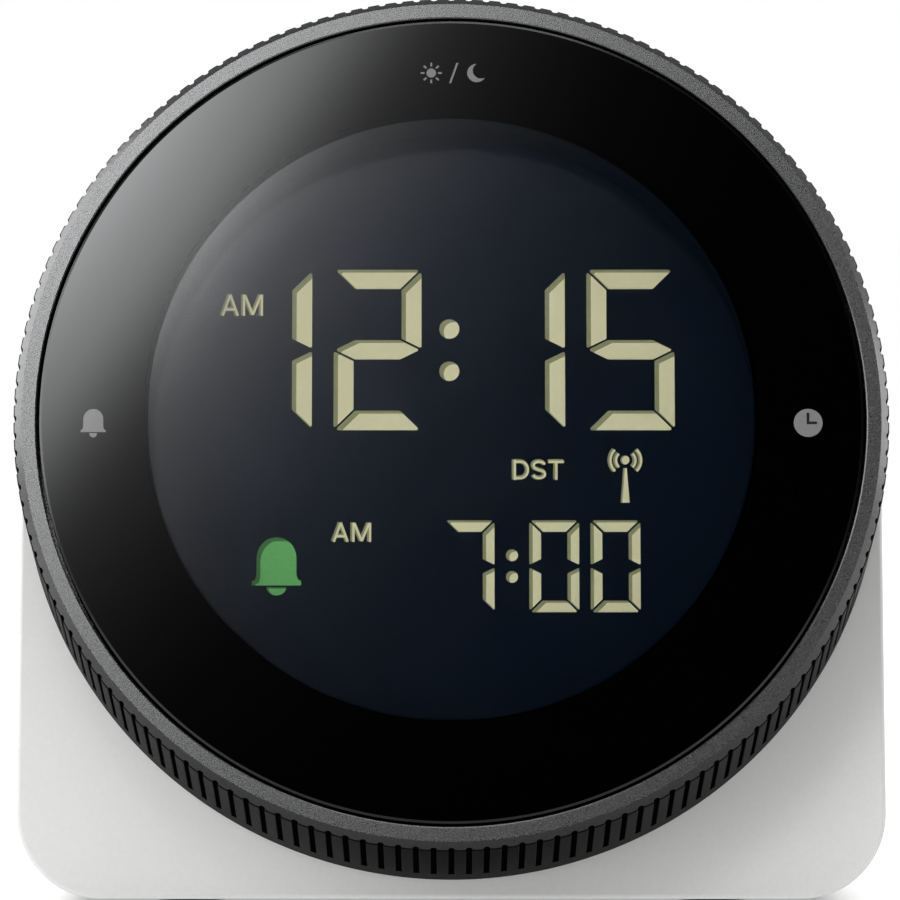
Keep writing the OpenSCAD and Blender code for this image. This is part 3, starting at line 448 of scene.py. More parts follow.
def sprayed_lacquer(name, dark, light, metallic, rough, specular, flake_relief):
    """Metallic lacquer sprayed over a moulded piece: a dark coat full of aluminium flakes, which shows as a
    fine sparkle that changes from flake to flake."""
    made, tree, shader, place = new_material(name)
    # Real flakes are about 0.03 mm; they are drawn 0.11 mm so that the sparkle shows in the render
    flakes = add_node(tree, "ShaderNodeTexVoronoi", {"Vector": place, "Scale": per(0.11)})
    grey = add_node(tree, "ShaderNodeSeparateColor", {"Color": flakes.outputs["Color"]}).outputs
    plug(tree, shader, {"Base Color": between(tree, grey["Red"], dark, light),
                        "Roughness": ranged(tree, grey["Green"], 0.0, 1.0, *rough),
                        "Normal": relief(tree, grey["Blue"], flake_relief),
                        "Metallic": metallic, "Specular IOR Level": specular})
    return made


# The ring's front: satin grey with a sparkle
gunmetal = sprayed_lacquer("sprayed_gunmetal_lacquer", "#1d1d1d", "#232323", 0.2, (0.26, 0.3), 1.0, 0.0007)
# The ring's ribbed side: a dark coat with hardly any sparkle
rib_black = sprayed_lacquer("sprayed_black_lacquer", "#090909", "#101010", 0.0, (0.45, 0.55), 0.03, 0.002)
# The grooves between the ribs: near black, as painted shade for the shade deep in the grooves
groove_painted_shade = speckled("bare_black_plastic", "#030303", "#060606", 0.3, (0.6, 0.7), specular=0.0)


def polished_acrylic():
    """Cast acrylic sheet, polished both sides: clear, and it lets light through to the display behind."""
    made, tree, shader = new_material("polished_clear_acrylic")[:3]
    plug(tree, shader, {"Base Color": (1, 1, 1, 1), "Roughness": 0.0, "IOR": 1.49,
                        "Transmission Weight": 1.0})
    clear = add_node(tree, "ShaderNodeBsdfTransparent")
    rays = add_node(tree, "ShaderNodeLightPath")
    both = add_node(tree, "ShaderNodeMixShader", {0: rays.outputs["Is Shadow Ray"], 1: shader.outputs["BSDF"],
                                                  2: clear.outputs["BSDF"]})
    tree.links.new(both.outputs[0], tree.nodes["Material Output"].inputs["Surface"])
    return made


acrylic = polished_acrylic()
# Liquid-crystal cell under a satin polariser: blue-black with a faint mottle
display_black = speckled("polarised_display_glass", "#050f1c", "#06111e", 0.8, (0.19, 0.23), specular=0.07,
                         coarse=12)
# Lit parts of the display: reflector paint seen through the cell, with a painted shadow of the cell's mask
# beside it
cream_lit = speckled("display_cream", "#e3e0b3", "#e8e5bb", 0.3, (0.5, 0.6), specular=0.2)
olive_painted_shadow = speckled("display_olive_shade", "#8a8d66", "#93986c", 0.3, (0.5, 0.6), specular=0.2)
green_lit = speckled("display_green", "#61b760", "#6abd69", 0.3, (0.5, 0.6), specular=0.2)
# Painted shadow beside the green lit parts
green_painted_shadow = speckled("display_green_shade", "#386c36", "#3f743c", 0.3, (0.5, 0.6), specular=0.2)
# Recess wall round the display, eroded in the mould so that it stays dull
# Its blue tint is painted shade: where the wall shows at the window's top it stands for the display field in the
# shadow of the window's edge
recess_abs_painted_shade = speckled("matt_dark_abs", "#0a131d", "#0c1520", 0.3, (0.75, 0.85), specular=0.0)
# Screen-printed ink on the front of the lens: the grey under the lens's gloss, the black dull
grey_ink = speckled("screen_printed_grey", "#7c7c7c", "#828282", 0.25, (0.0, 0.02), specular=ACRYLIC_GLOSS)
black_ink = speckled("screen_printed_black", "#060606", "#0a0a0a", 0.25, (0.5, 0.6), specular=0.2)


def wound_copper():
    """Enamelled copper wire wound turn by turn: fine bright bands round the rod."""
    made, tree, shader, place = new_material("enamelled_copper_winding")
    # 0.3 mm wire with its enamel
    bands = add_node(tree, "ShaderNodeTexWave", {"Vector": place, "Scale": per(0.3) / TURN * math.pi / 10,
                                                 "Distortion": 0.3}, bands_direction="X").outputs["Fac"]
    plug(tree, shader, {"Base Color": between(tree, bands, "#5a2d14", "#b8682f"),
                        "Normal": relief(tree, bands, 0.1), "Metallic": 0.8, "Roughness": 0.35})
    return made


copper = wound_copper()
# Shrink film round a dry cell: smooth dark blue
cell_film = speckled("shrink_film", "#23395c", "#2a4268", 0.6, (0.22, 0.3), coarse=8)

# Geometry Nodes: copies in a round and at places


def new_tree(name, inputs, output):
    """A Geometry Nodes tree with its named inputs and its one output, and the outputs of its input node."""
    tree = bpy.data.node_groups.new(name, "GeometryNodeTree")
    tree.is_modifier = True
    for label, kind in inputs:
        tree.interface.new_socket(label, in_out="INPUT", socket_type="NodeSocket" + kind)
    tree.interface.new_socket(output, in_out="OUTPUT", socket_type="NodeSocketGeometry")
    return tree, add_node(tree, "NodeGroupInput").outputs


def turned_copies(tree, points, shape, angle):
    """A shape at each point, turned about z, as real geometry."""
    turn = add_node(tree, "ShaderNodeCombineXYZ", {"Z": angle})
    copies = add_node(tree, "GeometryNodeInstanceOnPoints", {"Points": points, "Instance": shape,
                                                             "Rotation": turn.outputs[0]})
    return add_node(tree, "GeometryNodeRealizeInstances", {"Geometry": copies.outputs[0]}).outputs[0]


def end_tree(tree, geometry, finish):
    """Gives the geometry its finish and ends the tree with it."""
    paint = add_node(tree, "GeometryNodeSetMaterial", {"Geometry": geometry, "Material": finish})
    add_node(tree, "NodeGroupOutput", {0: paint.outputs[0]})
    return tree


def round_copies_tree():
    """One sector repeated round the z axis and welded to its neighbours."""
    inputs = (("Sector", "Geometry"), ("Copies", "Int"), ("First angle", "Float"), ("Weld distance", "Float"),
              ("Finish", "Material"))
    tree, given = new_tree("round_copies", inputs, "Ring")
    points = add_node(tree, "GeometryNodePoints", {"Count": given["Copies"]})
    index = add_node(tree, "GeometryNodeInputIndex").outputs[0]
    step = reckon(tree, "DIVIDE", TURN, given["Copies"])
    angle = reckon(tree, "MULTIPLY_ADD", index, step, given["First angle"])
    real = turned_copies(tree, points.outputs[0], given["Sector"], angle)
    weld = add_node(tree, "GeometryNodeMergeByDistance", {"Geometry": real,
                                                          "Distance": given["Weld distance"]})
    return end_tree(tree, weld.outputs[0], given["Finish"])


def placed_copies_tree():
    """One shape set at each point, each turned by its own seeded angle about z."""
    inputs = (("Places", "Geometry"), ("Shape", "Object"), ("Most turn", "Float"), ("Seed", "Int"),
              ("Finish", "Material"))
    tree, given = new_tree("placed_copies", inputs, "Copies")
    shape = add_node(tree, "GeometryNodeObjectInfo", {"Object": given["Shape"]})
    chance = add_node(tree, "FunctionNodeRandomValue", {"Seed": given["Seed"]}, data_type="FLOAT")
    tree.links.new(given["Most turn"], chance.inputs[3])
    real = turned_copies(tree, given["Places"], shape.outputs["Geometry"], chance.outputs[1])
    return end_tree(tree, real, given["Finish"])


ROUND_COPIES = round_copies_tree()
PLACED_COPIES = placed_copies_tree()


def grown(name, mesh, tree, inputs):
    """Runs a tree on a mesh with its named inputs and gives the result as a plain mesh."""
    made = put(name, mesh)
    modifier = made.modifiers.new(tree.name, "NODES")
    modifier.node_group = tree
    for item in tree.interface.items_tree:
        if item.in_out == "INPUT" and item.name in inputs:
            modifier[item.identifier] = inputs[item.name]
    result = evaluated_mesh(made, name)
    # The tree leaves an empty slot in front of its finish
    result.materials.clear()
    result.materials.append(inputs["Finish"])
    return result


def round_copies(name, sector, copies, finish, first=0.0):
    """A welded ring of copies of one sector, still in mm in the face frame."""
    return grown(name, sector.raw(name), ROUND_COPIES, {"Copies": copies, "First angle": first,
                                                        "Weld distance": 0.004, "Finish": finish})


def placed_copies(name, shape, places, finish, most_turn=0.0):
    """Copies of one shape at places, in the same frame as the shape, in mm."""
    mesh = shape.raw(name + "_shape")
    model = put(name + "_shape", mesh)
    spots = bpy.data.meshes.new(name)
    spots.from_pydata(places, [], [])
    made = grown(name, spots, PLACED_COPIES, {"Shape": model, "Most turn": most_turn, "Seed": SEED,
                                              "Finish": finish})
    bpy.data.objects.remove(model)
    bpy.data.meshes.remove(mesh)
    return made


# Setting ring

# Shallow bevels round the lens and round the ring's inner edge, which catch the lamps as thin bright lines:
# breadth, height, and the breadth of the last small step to the side wall
BEVEL_W, BEVEL_H, BEVEL_EDGE = 0.24, 0.09, 0.03
LIP_W, LIP_H, LIP_EDGE = 0.12, 0.045, 0.02


def rib_sector():
    """One groove with half a rib on each side, from the lip over the front round to the bore."""
    half = math.pi * RING_R / GROOVES
    wall_top, wall_foot, edge = GROOVE_W / 2, GROOVE_W / 2 - 0.05, GROOVE_W / 2 + 0.07
    columns = (-half, -edge, -wall_top, -wall_foot, 0.0, wall_foot, wall_top, edge, half)
    soft = RING_R - 0.06
    slope = SHOULDER_LEN / (RING_R - FACE_R)
    made = Shape()

    def at(offset, r, depth):
        angle = offset / RING_R
        made.points.append((r * math.cos(angle), r * math.sin(angle), -depth))
        return len(made.points) - 1

    def row(depth, land, lip, floor):
        radii = (land, land, lip, floor, floor, floor, lip, land, land)
        return [at(c, r, depth) for c, r in zip(columns, radii)]

    # The groove's front end is an arch on the shoulder: its middle reaches furthest forward
    arch = (RING_R - 0.1, RING_R - 0.12, RING_R - 0.17, GROOVE_FLOOR_R + 0.06, GROOVE_FLOOR_R,
            GROOVE_FLOOR_R + 0.06, RING_R - 0.17, RING_R - 0.12, RING_R - 0.1)
    rows = [
        [at(c, FACE_R, 0.0) for c in columns],
        [at(c, r, (r - FACE_R) * slope) for c, r in zip(columns, arch)],
        row(SHOULDER_LEN + 0.08, RING_R, soft, GROOVE_FLOOR_R),
        row(GROOVE_END, RING_R, soft, GROOVE_FLOOR_R),
        [at(c, RING_R, GROOVE_END + 0.08) for c in columns],
        [at(c, RING_R, RING_LEN - 0.2) for c in columns],
        [at(c, RING_R - 0.2, RING_LEN) for c in columns],
    ]
    for a, b in zip(rows, rows[1:]):
        for i in range(len(columns) - 1):
            made.faces.append((a[i], a[i + 1], b[i + 1], b[i]))
    inner = [(LIP_R + LIP_W, 0.0), (LIP_R + LIP_EDGE, LIP_H), (LIP_R, LIP_H + LIP_EDGE),
             (LIP_R, BORE_START), (BORE_R, BORE_START), (BORE_R, RING_LEN - 0.1), (BORE_R + 0.1, RING_LEN)]
    edges = [(at(-half, r, d), at(half, r, d)) for r, d in inner]
    made.faces.append(tuple(rows[0]) + (edges[0][1], edges[0][0]))
    for a, b in zip(edges, edges[1:]):
        made.faces.append((a[0], a[1], b[1], b[0]))
    made.faces.append(tuple(rows[-1]) + (edges[-1][1], edges[-1][0]))
    return made


def tooth_sector():
    """One tooth of the inner gear with half a gap on each side."""
    half = math.pi / GEAR_TEETH
    module = 0.5
    lean = math.tan(math.radians(20))
    tooth_half = 0.4 * math.pi * module / 2
    tip = (tooth_half - 0.8 * module * lean) / GEAR_TIP_R
    root = (tooth_half + 1.2 * module * lean) / GEAR_ROOT_R
    outline = [(GEAR_RIM_R, -half), (GEAR_RIM_R, half), (GEAR_ROOT_R, half), (GEAR_ROOT_R, root),
               (GEAR_TIP_R, tip), (GEAR_TIP_R, -tip), (GEAR_ROOT_R, -root), (GEAR_ROOT_R, -half)]
    made = Shape()
    n = len(outline)
    for depth in WEB:
        made.points.extend([(r * math.cos(a), r * math.sin(a), -depth) for r, a in outline])
    made.faces.append(tuple(range(n)))
    made.faces.append(tuple(range(2 * n - 1, n - 1, -1)))
    for i in (0, 2, 3, 4, 5, 6):
        made.faces.append((i, i + 1, n + i + 1, n + i))
    return made


def join_meshes(name, meshes):
    """Several meshes as one."""
    work = bmesh.new()
    for mesh in meshes:
        work.from_mesh(mesh)
    joined = bpy.data.meshes.new(name)
    work.to_mesh(joined)
    work.free()
    for mesh in meshes:
        bpy.data.meshes.remove(mesh)
    return joined


def rib_finish(centre):
    """0 for the front and the inside, 1 for the ribs and 2 for the grooves, whose near black is painted shade.
    """
    r, depth = math.hypot(*centre.xy), -centre.z
    if r < BORE_R or depth < SHOULDER_LEN * 0.85:
        return 0
    pitch = TURN / GROOVES
    across = (math.atan2(centre.y, centre.x) + pitch / 2) % pitch - pitch / 2
    in_groove = abs(across) * RING_R < GROOVE_W / 2 and depth < GROOVE_END + 0.06
    return 2 if in_groove else 1


ribs = round_copies("ring_ribs", rib_sector(), GROOVES, gunmetal)
for face in ribs.polygons:
    face.material_index = rib_finish(face.center)
gear = round_copies("ring_gear", tooth_sector(), GEAR_TEETH, gunmetal, GEAR_START + math.pi / GEAR_TEETH)
ring_mesh = join_meshes("turning_ring", [settle(ribs, FACE), settle(gear, FACE)])
# Below the slope of the lip's bevel, so that the bevel and the front each stay flat
shade(ring_mesh, 18)
piece("turning_ring", flattened(ring_mesh), [gunmetal, rib_black, groove_painted_shade], "ring", ["setting_ring"])

# Stand


def outline_points():
    """(x, z, outward x, outward z) round the stand's outline, seen from the front."""
    made = []
    arch, side, corner, base = 96, 8, 16, 24
    low = FOOT_PROUD
    drop = ARCH_Z - low - CORNER_R
    flat = STAND_HALF - CORNER_R

    def arc(x, z, r, first, sweep, steps):
        for k in range(steps):
            a = first + sweep * k / steps
            made.append((x + r * math.cos(a), z + r * math.sin(a), math.cos(a), math.sin(a)))

    arc(0.0, ARCH_Z, STAND_HALF, 0.0, math.pi, arch)
    for k in range(side):
        made.append((-STAND_HALF, ARCH_Z - drop * k / side, -1, 0))
    arc(-flat, low + CORNER_R, CORNER_R, math.pi, math.pi / 2, corner)
    for k in range(base):
        made.append((-flat + 2 * flat * k / base, low, 0, -1))
    arc(flat, low + CORNER_R, CORNER_R, 1.5 * math.pi, math.pi / 2, corner)
    for k in range(side):
        made.append((STAND_HALF, low + CORNER_R + drop * k / side, 1, 0))
    return made


def stand_shape():
    """Arched shell cut by the leaning face, with its collar and its rounded edges."""
    outline = outline_points()
    around = [math.atan2((z - AXIS_Z) / LEAN_COS, x) for x, z, mx, mz in outline]

    def collar_loop(r, depth):
        made = []
        for a in around:
            u, v = r * math.cos(a), r * math.sin(a)
            made.append((u, FACE_Y + v * LEAN_SIN + depth * LEAN_COS,
                         FACE_Z + v * LEAN_COS - depth * LEAN_SIN))
        return made

    def inset_loop(margin, y_of):
        return [(x - margin * mx, y_of(z - margin * mz), z - margin * mz) for x, z, mx, mz in outline]

    inner_r, outer_r, front = COLLAR
    loops = [collar_loop(inner_r, STAND_FRONT + WALL), collar_loop(inner_r, front + 0.2),
             collar_loop(inner_r + 0.2, front), collar_loop(outer_r - 0.2, front),
             collar_loop(outer_r, front + 0.2), collar_loop(outer_r, STAND_FRONT)]
    edge_r, steps = 0.4, 6
    for k in range(steps + 1):
        loop = []
        for x, z, mx, mz in outline:
            slope = LEAN_SIN / LEAN_COS * mz
            reach = math.sqrt(1 + slope * slope)
            centre_y = plane_y(STAND_FRONT, z) - slope * edge_r + edge_r * reach
            start = math.atan2(-1, slope)
            a = start * (1 - k / steps)
            s = -edge_r + edge_r * math.cos(a)
            loop.append((x + s * mx, centre_y + edge_r * math.sin(a), z + s * mz))
        loops.append(loop)
    back_r = 0.35
    for k in range(5):
        a = math.pi / 2 * k / 4
        rear = BACK_Y - back_r + back_r * math.sin(a)
        loops.append(inset_loop(back_r - back_r * math.cos(a), lambda z, rear=rear: rear))
    loops.append(inset_loop(WALL - 0.12, lambda z: BACK_Y))
    loops.append(inset_loop(WALL, lambda z: BACK_Y - 0.12))
    loops.append(inset_loop(WALL, lambda z: plane_y(STAND_FRONT + WALL, z)))
    return Shape().skin(loops, wrap=True)


def post_islands(made):
    """Posts for the cover's screws from the front wall, with their screw holes."""
    top_r = STAND_HALF - WALL - COVER_POST_R - 1.2
    high = (top_r * math.cos(math.radians(48)), ARCH_Z + top_r * math.sin(math.radians(48)))
    low = (STAND_HALF - WALL - COVER_POST_R - 2.2, FOOT_PROUD + WALL + COVER_POST_R + 3.6)
    places = [(side * x, z) for side in (-1, 1) for x, z in (high, low)]
    front = STAND_FRONT + WALL / 4
    rear = BACK_Y - COVER_T
    hole = rear - 7.5
    hole_r = 1.15
    ring = disc((0, 0), 1, 32)
    for x, z in places:
        def loop(r, y=None):
            return [(x + r * c, y if y is not None else plane_y(front, z + r * s), z + r * s)
                    for c, s in ring]

        made.skin([[(x, hole, z)], loop(hole_r, hole), loop(hole_r, rear), loop(COVER_POST_R, rear),
                   loop(COVER_POST_R), [(x, plane_y(front, z), z)]])
    return places


stand = stand_shape()
cover_places = post_islands(stand)
stand_mesh = stand.mesh("stand_shell", UPRIGHT, 40)
# Bosses for the clamp screws inside the collar, each with a web to the collar: heights of the back end, of
# the hole's end and of the front, radii of boss and hole, and the web's reach and half breadth
BOSS_BACK, BOSS_HOLE, BOSS_FRONT = -19.15, -18.15, -11.2
BOSS_R, BOSS_HOLE_R = 2.2, 0.85
WEB_REACH, WEB_HALF = (1.9, 4.14), 1.4
bosses = Shape()
for angle in CLAMP_ANGLES:
    a = math.radians(angle)
    spot = (CLAMP_R * math.cos(a), CLAMP_R * math.sin(a))
    bosses.lathe([(0, BOSS_HOLE), (BOSS_HOLE_R, BOSS_HOLE), (BOSS_HOLE_R, BOSS_FRONT), (BOSS_R, BOSS_FRONT),
                  (BOSS_R, BOSS_BACK), (0, BOSS_BACK)], 32, spot)
    out = Vector((math.cos(a), math.sin(a)))
    across = Vector((-out.y, out.x))
    near, far = WEB_REACH
    corners = [Vector(spot) + out * s + across * t
               for s, t in ((near, -WEB_HALF), (far, -WEB_HALF), (far, WEB_HALF), (near, WEB_HALF))]
    bosses.slab([tuple(c) for c in corners], BOSS_BACK, BOSS_FRONT)
boss_mesh = bosses.mesh("clamp_bosses", FACE, 40)
feet_places = [(side * (STAND_HALF - CORNER_R - FOOT_INSET), y, 0.0) for side in (-1, 1)
               for y in (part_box("rubber_feet")[0].y / MM + FOOT_R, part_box("rubber_feet")[1].y / MM - FOOT_R)]


def cut(mesh, shape, place, name):
    """Cuts a shape out of a mesh."""
    body = put(name, mesh)
    tool = put(name + "_tool", shape.mesh(name + "_tool", place))
    modifier = body.modifiers.new("cut", "BOOLEAN")
    modifier.operation = "DIFFERENCE"
    modifier.solver = "EXACT"
    modifier.object = tool
    result = evaluated_mesh(body, name)
    old = tool.data
    bpy.data.objects.remove(tool)
    bpy.data.meshes.remove(old)
    return result


FOOT_TOP = FOOT_PROUD + FOOT_SUNK
pockets = Shape()
for x, y, z in feet_places:
    pockets.lathe([(0, FOOT_PROUD - 0.5), (FOOT_R + 0.05, FOOT_PROUD - 0.5), (FOOT_R + 0.05, FOOT_TOP),
                   (0, FOOT_TOP)], 64, (x, y))
stand_mesh = cut(stand_mesh, pockets, UPRIGHT, "stand_shell")
stand_mesh = join_meshes("stand_shell", [stand_mesh, boss_mesh])
shade(stand_mesh, 40)
piece("stand_shell", flattened(stand_mesh), [white_abs], "stand", ["front_housing"])

# Two shallow grooves round each foot's sole
foot = Shape().lathe(profile_of([(0, 0.0, 0), (1.3, 0.0, 0), (1.5, 0.2, 0), (1.9, 0.2, 0), (2.1, 0.0, 0),
                                 (2.7, 0.0, 0), (2.9, 0.2, 0), (3.2, 0.2, 0), (3.4, 0.0, 0),
                                 (FOOT_R, 0.0, 0.25), (FOOT_R, FOOT_TOP, 0), (0, FOOT_TOP, 0)]), 64)
feet = settle(placed_copies("stand_feet", foot, feet_places, foot_rubber), UPRIGHT)
piece("stand_feet", feet, [foot_rubber], "stand", ["rubber_feet"])

# Back: cover, door, screws and small controls


def softened(node, name, width, angle=30):
    """A welded copy of a CAD node with its edges rounded by a small width in mm."""
    mesh = frame["nodes"][node].data.copy()
    mesh.name = name
    work = bmesh.new()
    work.from_mesh(mesh)
    bmesh.ops.remove_doubles(work, verts=work.verts, dist=2e-6)
    bmesh.ops.dissolve_limit(work, angle_limit=math.radians(0.4), verts=work.verts, edges=work.edges)
    # Faces that wrap round grooves and openings are cut up again, so that they stay flat and whole
    bmesh.ops.triangulate(work, faces=[face for face in work.faces if len(face.verts) > 4])
    work.to_mesh(mesh)
    work.free()
    if mesh.has_custom_normals:
        mesh.normals_split_custom_set([(0, 0, 0)] * len(mesh.loops))
    made = put(name, mesh)
    bevel = made.modifiers.new("edges", "BEVEL")
    bevel.width = width * MM
    bevel.segments = 2
    bevel.limit_method = "ANGLE"
    bevel.angle_limit = math.radians(angle)
    bevel.miter_outer = "MITER_ARC"
    result = evaluated_mesh(made, name)
    shade(result, 40)
    return flattened(result)


for name, node, width, finish, body, slot in (
        ("back_cover", "rear_cover", 0.15, white_abs, "stand", "white_plastic"),
        ("battery_lid", "battery_door", 0.15, white_abs, "door", "white_plastic"),
        ("zone_slider", "zone_switch_knob", 0.12, black_abs, "zone_knob", "black_plastic"),
        ("reset_pin", "reset_button", 0.15, black_abs, "reset", "black_plastic")):
    piece(name, softened(node, name, width), [finish], body, [node])


def pan_screw(head_r, head_t, shank_r, length, recess):
    """A cross-recessed pan-head screw along +z from its head's top at 0, in mm."""
    made = Shape()
    turns = 48
    arm, broad = 0.6 * head_r, 0.14 * head_r
    plus = [(arm, -broad), (arm, broad), (broad, broad), (broad, arm), (-broad, arm), (-broad, broad),
            (-arm, broad), (-arm, -broad), (-broad, -broad), (-broad, -arm), (broad, -arm), (broad, -broad)]
    crown_r = head_r - 0.35
    work = bmesh.new()
    rim = [work.verts.new((x, y, 0)) for x, y in disc((0, 0), crown_r, turns)]
    mouth = [work.verts.new((x, y, 0)) for x, y in plus]
    edges = [work.edges.new((loop[i], loop[(i + 1) % len(loop)])) for loop in (rim, mouth)
             for i in range(len(loop))]
    bmesh.ops.triangle_fill(work, use_beauty=True, use_dissolve=False, edges=edges)
    work.verts.index_update()
    made.points = [tuple(v.co) for v in work.verts]
    made.faces = [tuple(v.index for v in f.verts) for f in work.faces]
    work.free()
    base = len(made.points)
    made.points.extend([(0.8 * x, 0.8 * y, recess) for x, y in plus])
    for i in range(12):
        j = (i + 1) % 12
        made.faces.append((turns + i, turns + j, base + j, base + i))
    made.faces.append(tuple(base + i for i in range(12)))
    start = len(made.points)
    rows = [(head_r - 0.1, 0.1), (head_r, 0.35), (head_r, head_t), (shank_r, head_t), (shank_r, length)]
    for r, h in rows:
        made.points.extend([(x, y, h) for x, y in disc((0, 0), r, turns)])
    made.points.append((0, 0, length + 0.4))
    tip = len(made.points) - 1
    levels = [0] + [start + turns * i for i in range(len(rows))]
    for a, b in zip(levels, levels[1:]):
        for k in range(turns):
            j = (k + 1) % turns
            made.faces.append((a + k, a + j, b + j, b + k))
    for k in range(turns):
        made.faces.append((levels[-1] + k, levels[-1] + (k + 1) % turns, tip))
    return made


cover_screw = pan_screw(2.2, 1.4, 1.1, 9.5, 0.8)
cover_screw_mesh = settle(placed_copies("back_screws", cover_screw, [(x, z, 0.1) for x, z in cover_places],
                                        zinc_steel, math.pi / 2), BACK, 40)
piece("back_screws", cover_screw_mesh, [zinc_steel], "stand", ["cover_screws"])

# Lens, film and its prints

WINDOW_STEPS = 288


def window_loop(depth, margin=0.0):
    """The window's outline at a depth: two half rounds, the upper one raised a little."""
    made = []
    for k in range(WINDOW_STEPS):
        a = TURN * k / WINDOW_STEPS
        lift = WINDOW_HIGH if math.sin(a) > 1e-6 else WINDOW_LOW
        r = WINDOW_R + margin
        made.append((r * math.cos(a), r * math.sin(a) + lift, -depth))
    return made


def round_loop(r, depth):
    return [(x, y, -depth) for x, y in disc((0, 0), r, WINDOW_STEPS)]


lens_edge = [(LENS_R - BEVEL_W, 0), (LENS_R - BEVEL_EDGE, BEVEL_H), (LENS_R, BEVEL_H + BEVEL_EDGE)]
# The front is clear a little past the window, and its gloss black starts there
CLEAR_MARGIN = 0.36
lens_shape = Shape().skin([[(0, 0, 0)], window_loop(0.0, CLEAR_MARGIN)] + [round_loop(*p) for p in lens_edge]
                          + [round_loop(LENS_R, LENS_T), window_loop(LENS_T), [(0, 0, -LENS_T)]])
lens_mesh = lens_shape.mesh("lens", Matrix.Identity(4), 12)
for face in lens_mesh.polygons:
    # Round the window the back and the rim are lacquered black, and the front shows that
    if math.hypot(*face.center.xy) > WINDOW_R * 0.8:
        depth = -face.center.z
        face.material_index = 1 if depth > LENS_BEVEL else 2 if depth < BEVEL_H / 4 else 3
lens_mesh.transform(FACE)
piece("lens", flattened(lens_mesh), [acrylic, back_coat, coated_acrylic, turned_acrylic], "lens",
      ["front_lens"])

# The film thins out to the edge of its opening
FILM_FRONT, FILM_EDGE, FILM_BACK = 2.04, 2.06, 2.15
film_mesh = Shape().skin([window_loop(FILM_FRONT), round_loop(MASK_R, FILM_FRONT),
                          round_loop(MASK_R, FILM_BACK), window_loop(FILM_EDGE)],
                         wrap=True).mesh("lens_film", FACE)
piece("lens_film", film_mesh, [dark_film_painted_shade], "lens", ["lens_mask"])

# The prints lie on the front of the lens
INK_T = 0.02
HANDS_T = 0.006


def bell_half_width(t, dome, flare):
    """Half-width of a bell at a share t of its height from its foot."""
    brim, waist = 0.11, 0.28
    if t < brim:
        return flare
    if t < waist:
        return dome + 0.4 * (flare - dome) * ((waist - t) / (waist - brim)) ** 2
    if t < 0.55:
        return dome
    return dome * math.sqrt(max(0.0, 1 - ((t - 0.55) / 0.45) ** 2))


def bell_outline(centre, foot, top, dome, flare, steps=45):
    """Outline of a bell from its foot to its top."""
    right = []
    for k in range(steps + 1):
        t = k / steps
        right.append((bell_half_width(t, dome, flare), foot + t * (top - foot)))
    right[-1] = (0.0, top)
    return [(centre + w, v) for w, v in right] + [(centre - w, v) for w, v in reversed(right[:-1])]


def bend(centre, rx, ry, first, last, steps=14):
    """Points of an elliptical arc between two angles in degrees."""
    made = []
    for k in range(steps + 1):
        a = math.radians(first + (last - first) * k / steps)
        made.append((centre[0] + rx * math.cos(a), centre[1] + ry * math.sin(a)))
    return made


def crescent(centre, r, bite_r, bite):
    """Outline of a crescent: a disc with a smaller disc, moved by the bite, taken off it."""
    away = math.hypot(*bite)
    way = math.degrees(math.atan2(bite[1], bite[0]))
    outer = math.degrees(math.acos((away ** 2 + r ** 2 - bite_r ** 2) / (2 * away * r)))
    inner = math.degrees(math.acos((away ** 2 + bite_r ** 2 - r ** 2) / (2 * away * bite_r)))
    middle = (centre[0] + bite[0], centre[1] + bite[1])
    return (bend(centre, r, r, way + outer, way + 360 - outer, 32)
            + bend(middle, bite_r, bite_r, way + 180 + inner, way + 180 - inner, 24)[1:-1])


# Plain signs for light and rest at the top: a sun, a stroke and a crescent
SIGN_Z = 34.25
SUN_X, MOON_X = -1.95, 2.45
# A bell with its clapper at the left, the disc of a clock at the right, and the sun's disc
marks = [bell_outline(-34.3, -1.46, 0.82, 0.96, 1.2), bend((-34.3, -1.55), 0.37, 0.44, 180, 360, 16),
         disc((34.17, -0.55), 1.38), disc((SUN_X, SIGN_Z), 0.46, 32)]
for x, y in disc((0, 0), 1, 8):
    way = Vector((x, y))
    side = Vector((-way.y, way.x)) * 0.09
    ray = [way * 0.66 - side, way * 1.02 - side, way * 1.02 + side, way * 0.66 + side]
    marks.append([(SUN_X + v.x, SIGN_Z + v.y) for v in ray])
marks.append([(-0.22, SIGN_Z - 1.02), (-0.02, SIGN_Z - 1.02), (0.68, SIGN_Z + 1.02), (0.48, SIGN_Z + 1.02)])
marks.append(crescent((MOON_X, SIGN_Z), 0.92, 0.8, (0.42, 0.24)))
grey_prints = Shape()
for mark in marks:
    grey_prints.slab(mark, 0.0, INK_T)
piece("lens_prints", grey_prints.mesh("lens_prints", FACE), [grey_ink], "lens")
hands = Shape()
for points in ([(34.02, -0.68), (34.29, -0.68), (34.29, 0.45), (34.02, 0.45)],
               [(34.29, -0.68), (35.02, -0.68), (35.02, -0.42), (34.29, -0.42)]):
    hands.slab(points, INK_T, INK_T + HANDS_T)
piece("lens_print_hands", hands.mesh("lens_print_hands", FACE), [black_ink], "lens")

# Display

field_mesh = Shape().lathe([(0, -GLASS_FRONT), (GLASS_R, -GLASS_FRONT), (GLASS_R, -GLASS_BACK),
                            (0, -GLASS_BACK)], 192).mesh("display_field", FACE)
piece("display_field", field_mesh, [display_black], "stand", ["display_glass"])

# Lit parts lie this far to the right and down on their painted shadow, and both are plates between these heights
PAINTED_SHADOW_SHIFT = (0.43, 0.29)
PAINTED_SHADOW_LEVEL = (-GLASS_FRONT, -GLASS_FRONT + 0.05)
LIT_LEVEL = (-GLASS_FRONT + 0.05, -GLASS_FRONT + 0.08)
# Finishes of a painted shadow and of its lit part
CREAM = (olive_painted_shadow, cream_lit)
GREEN = (green_painted_shadow, green_lit)


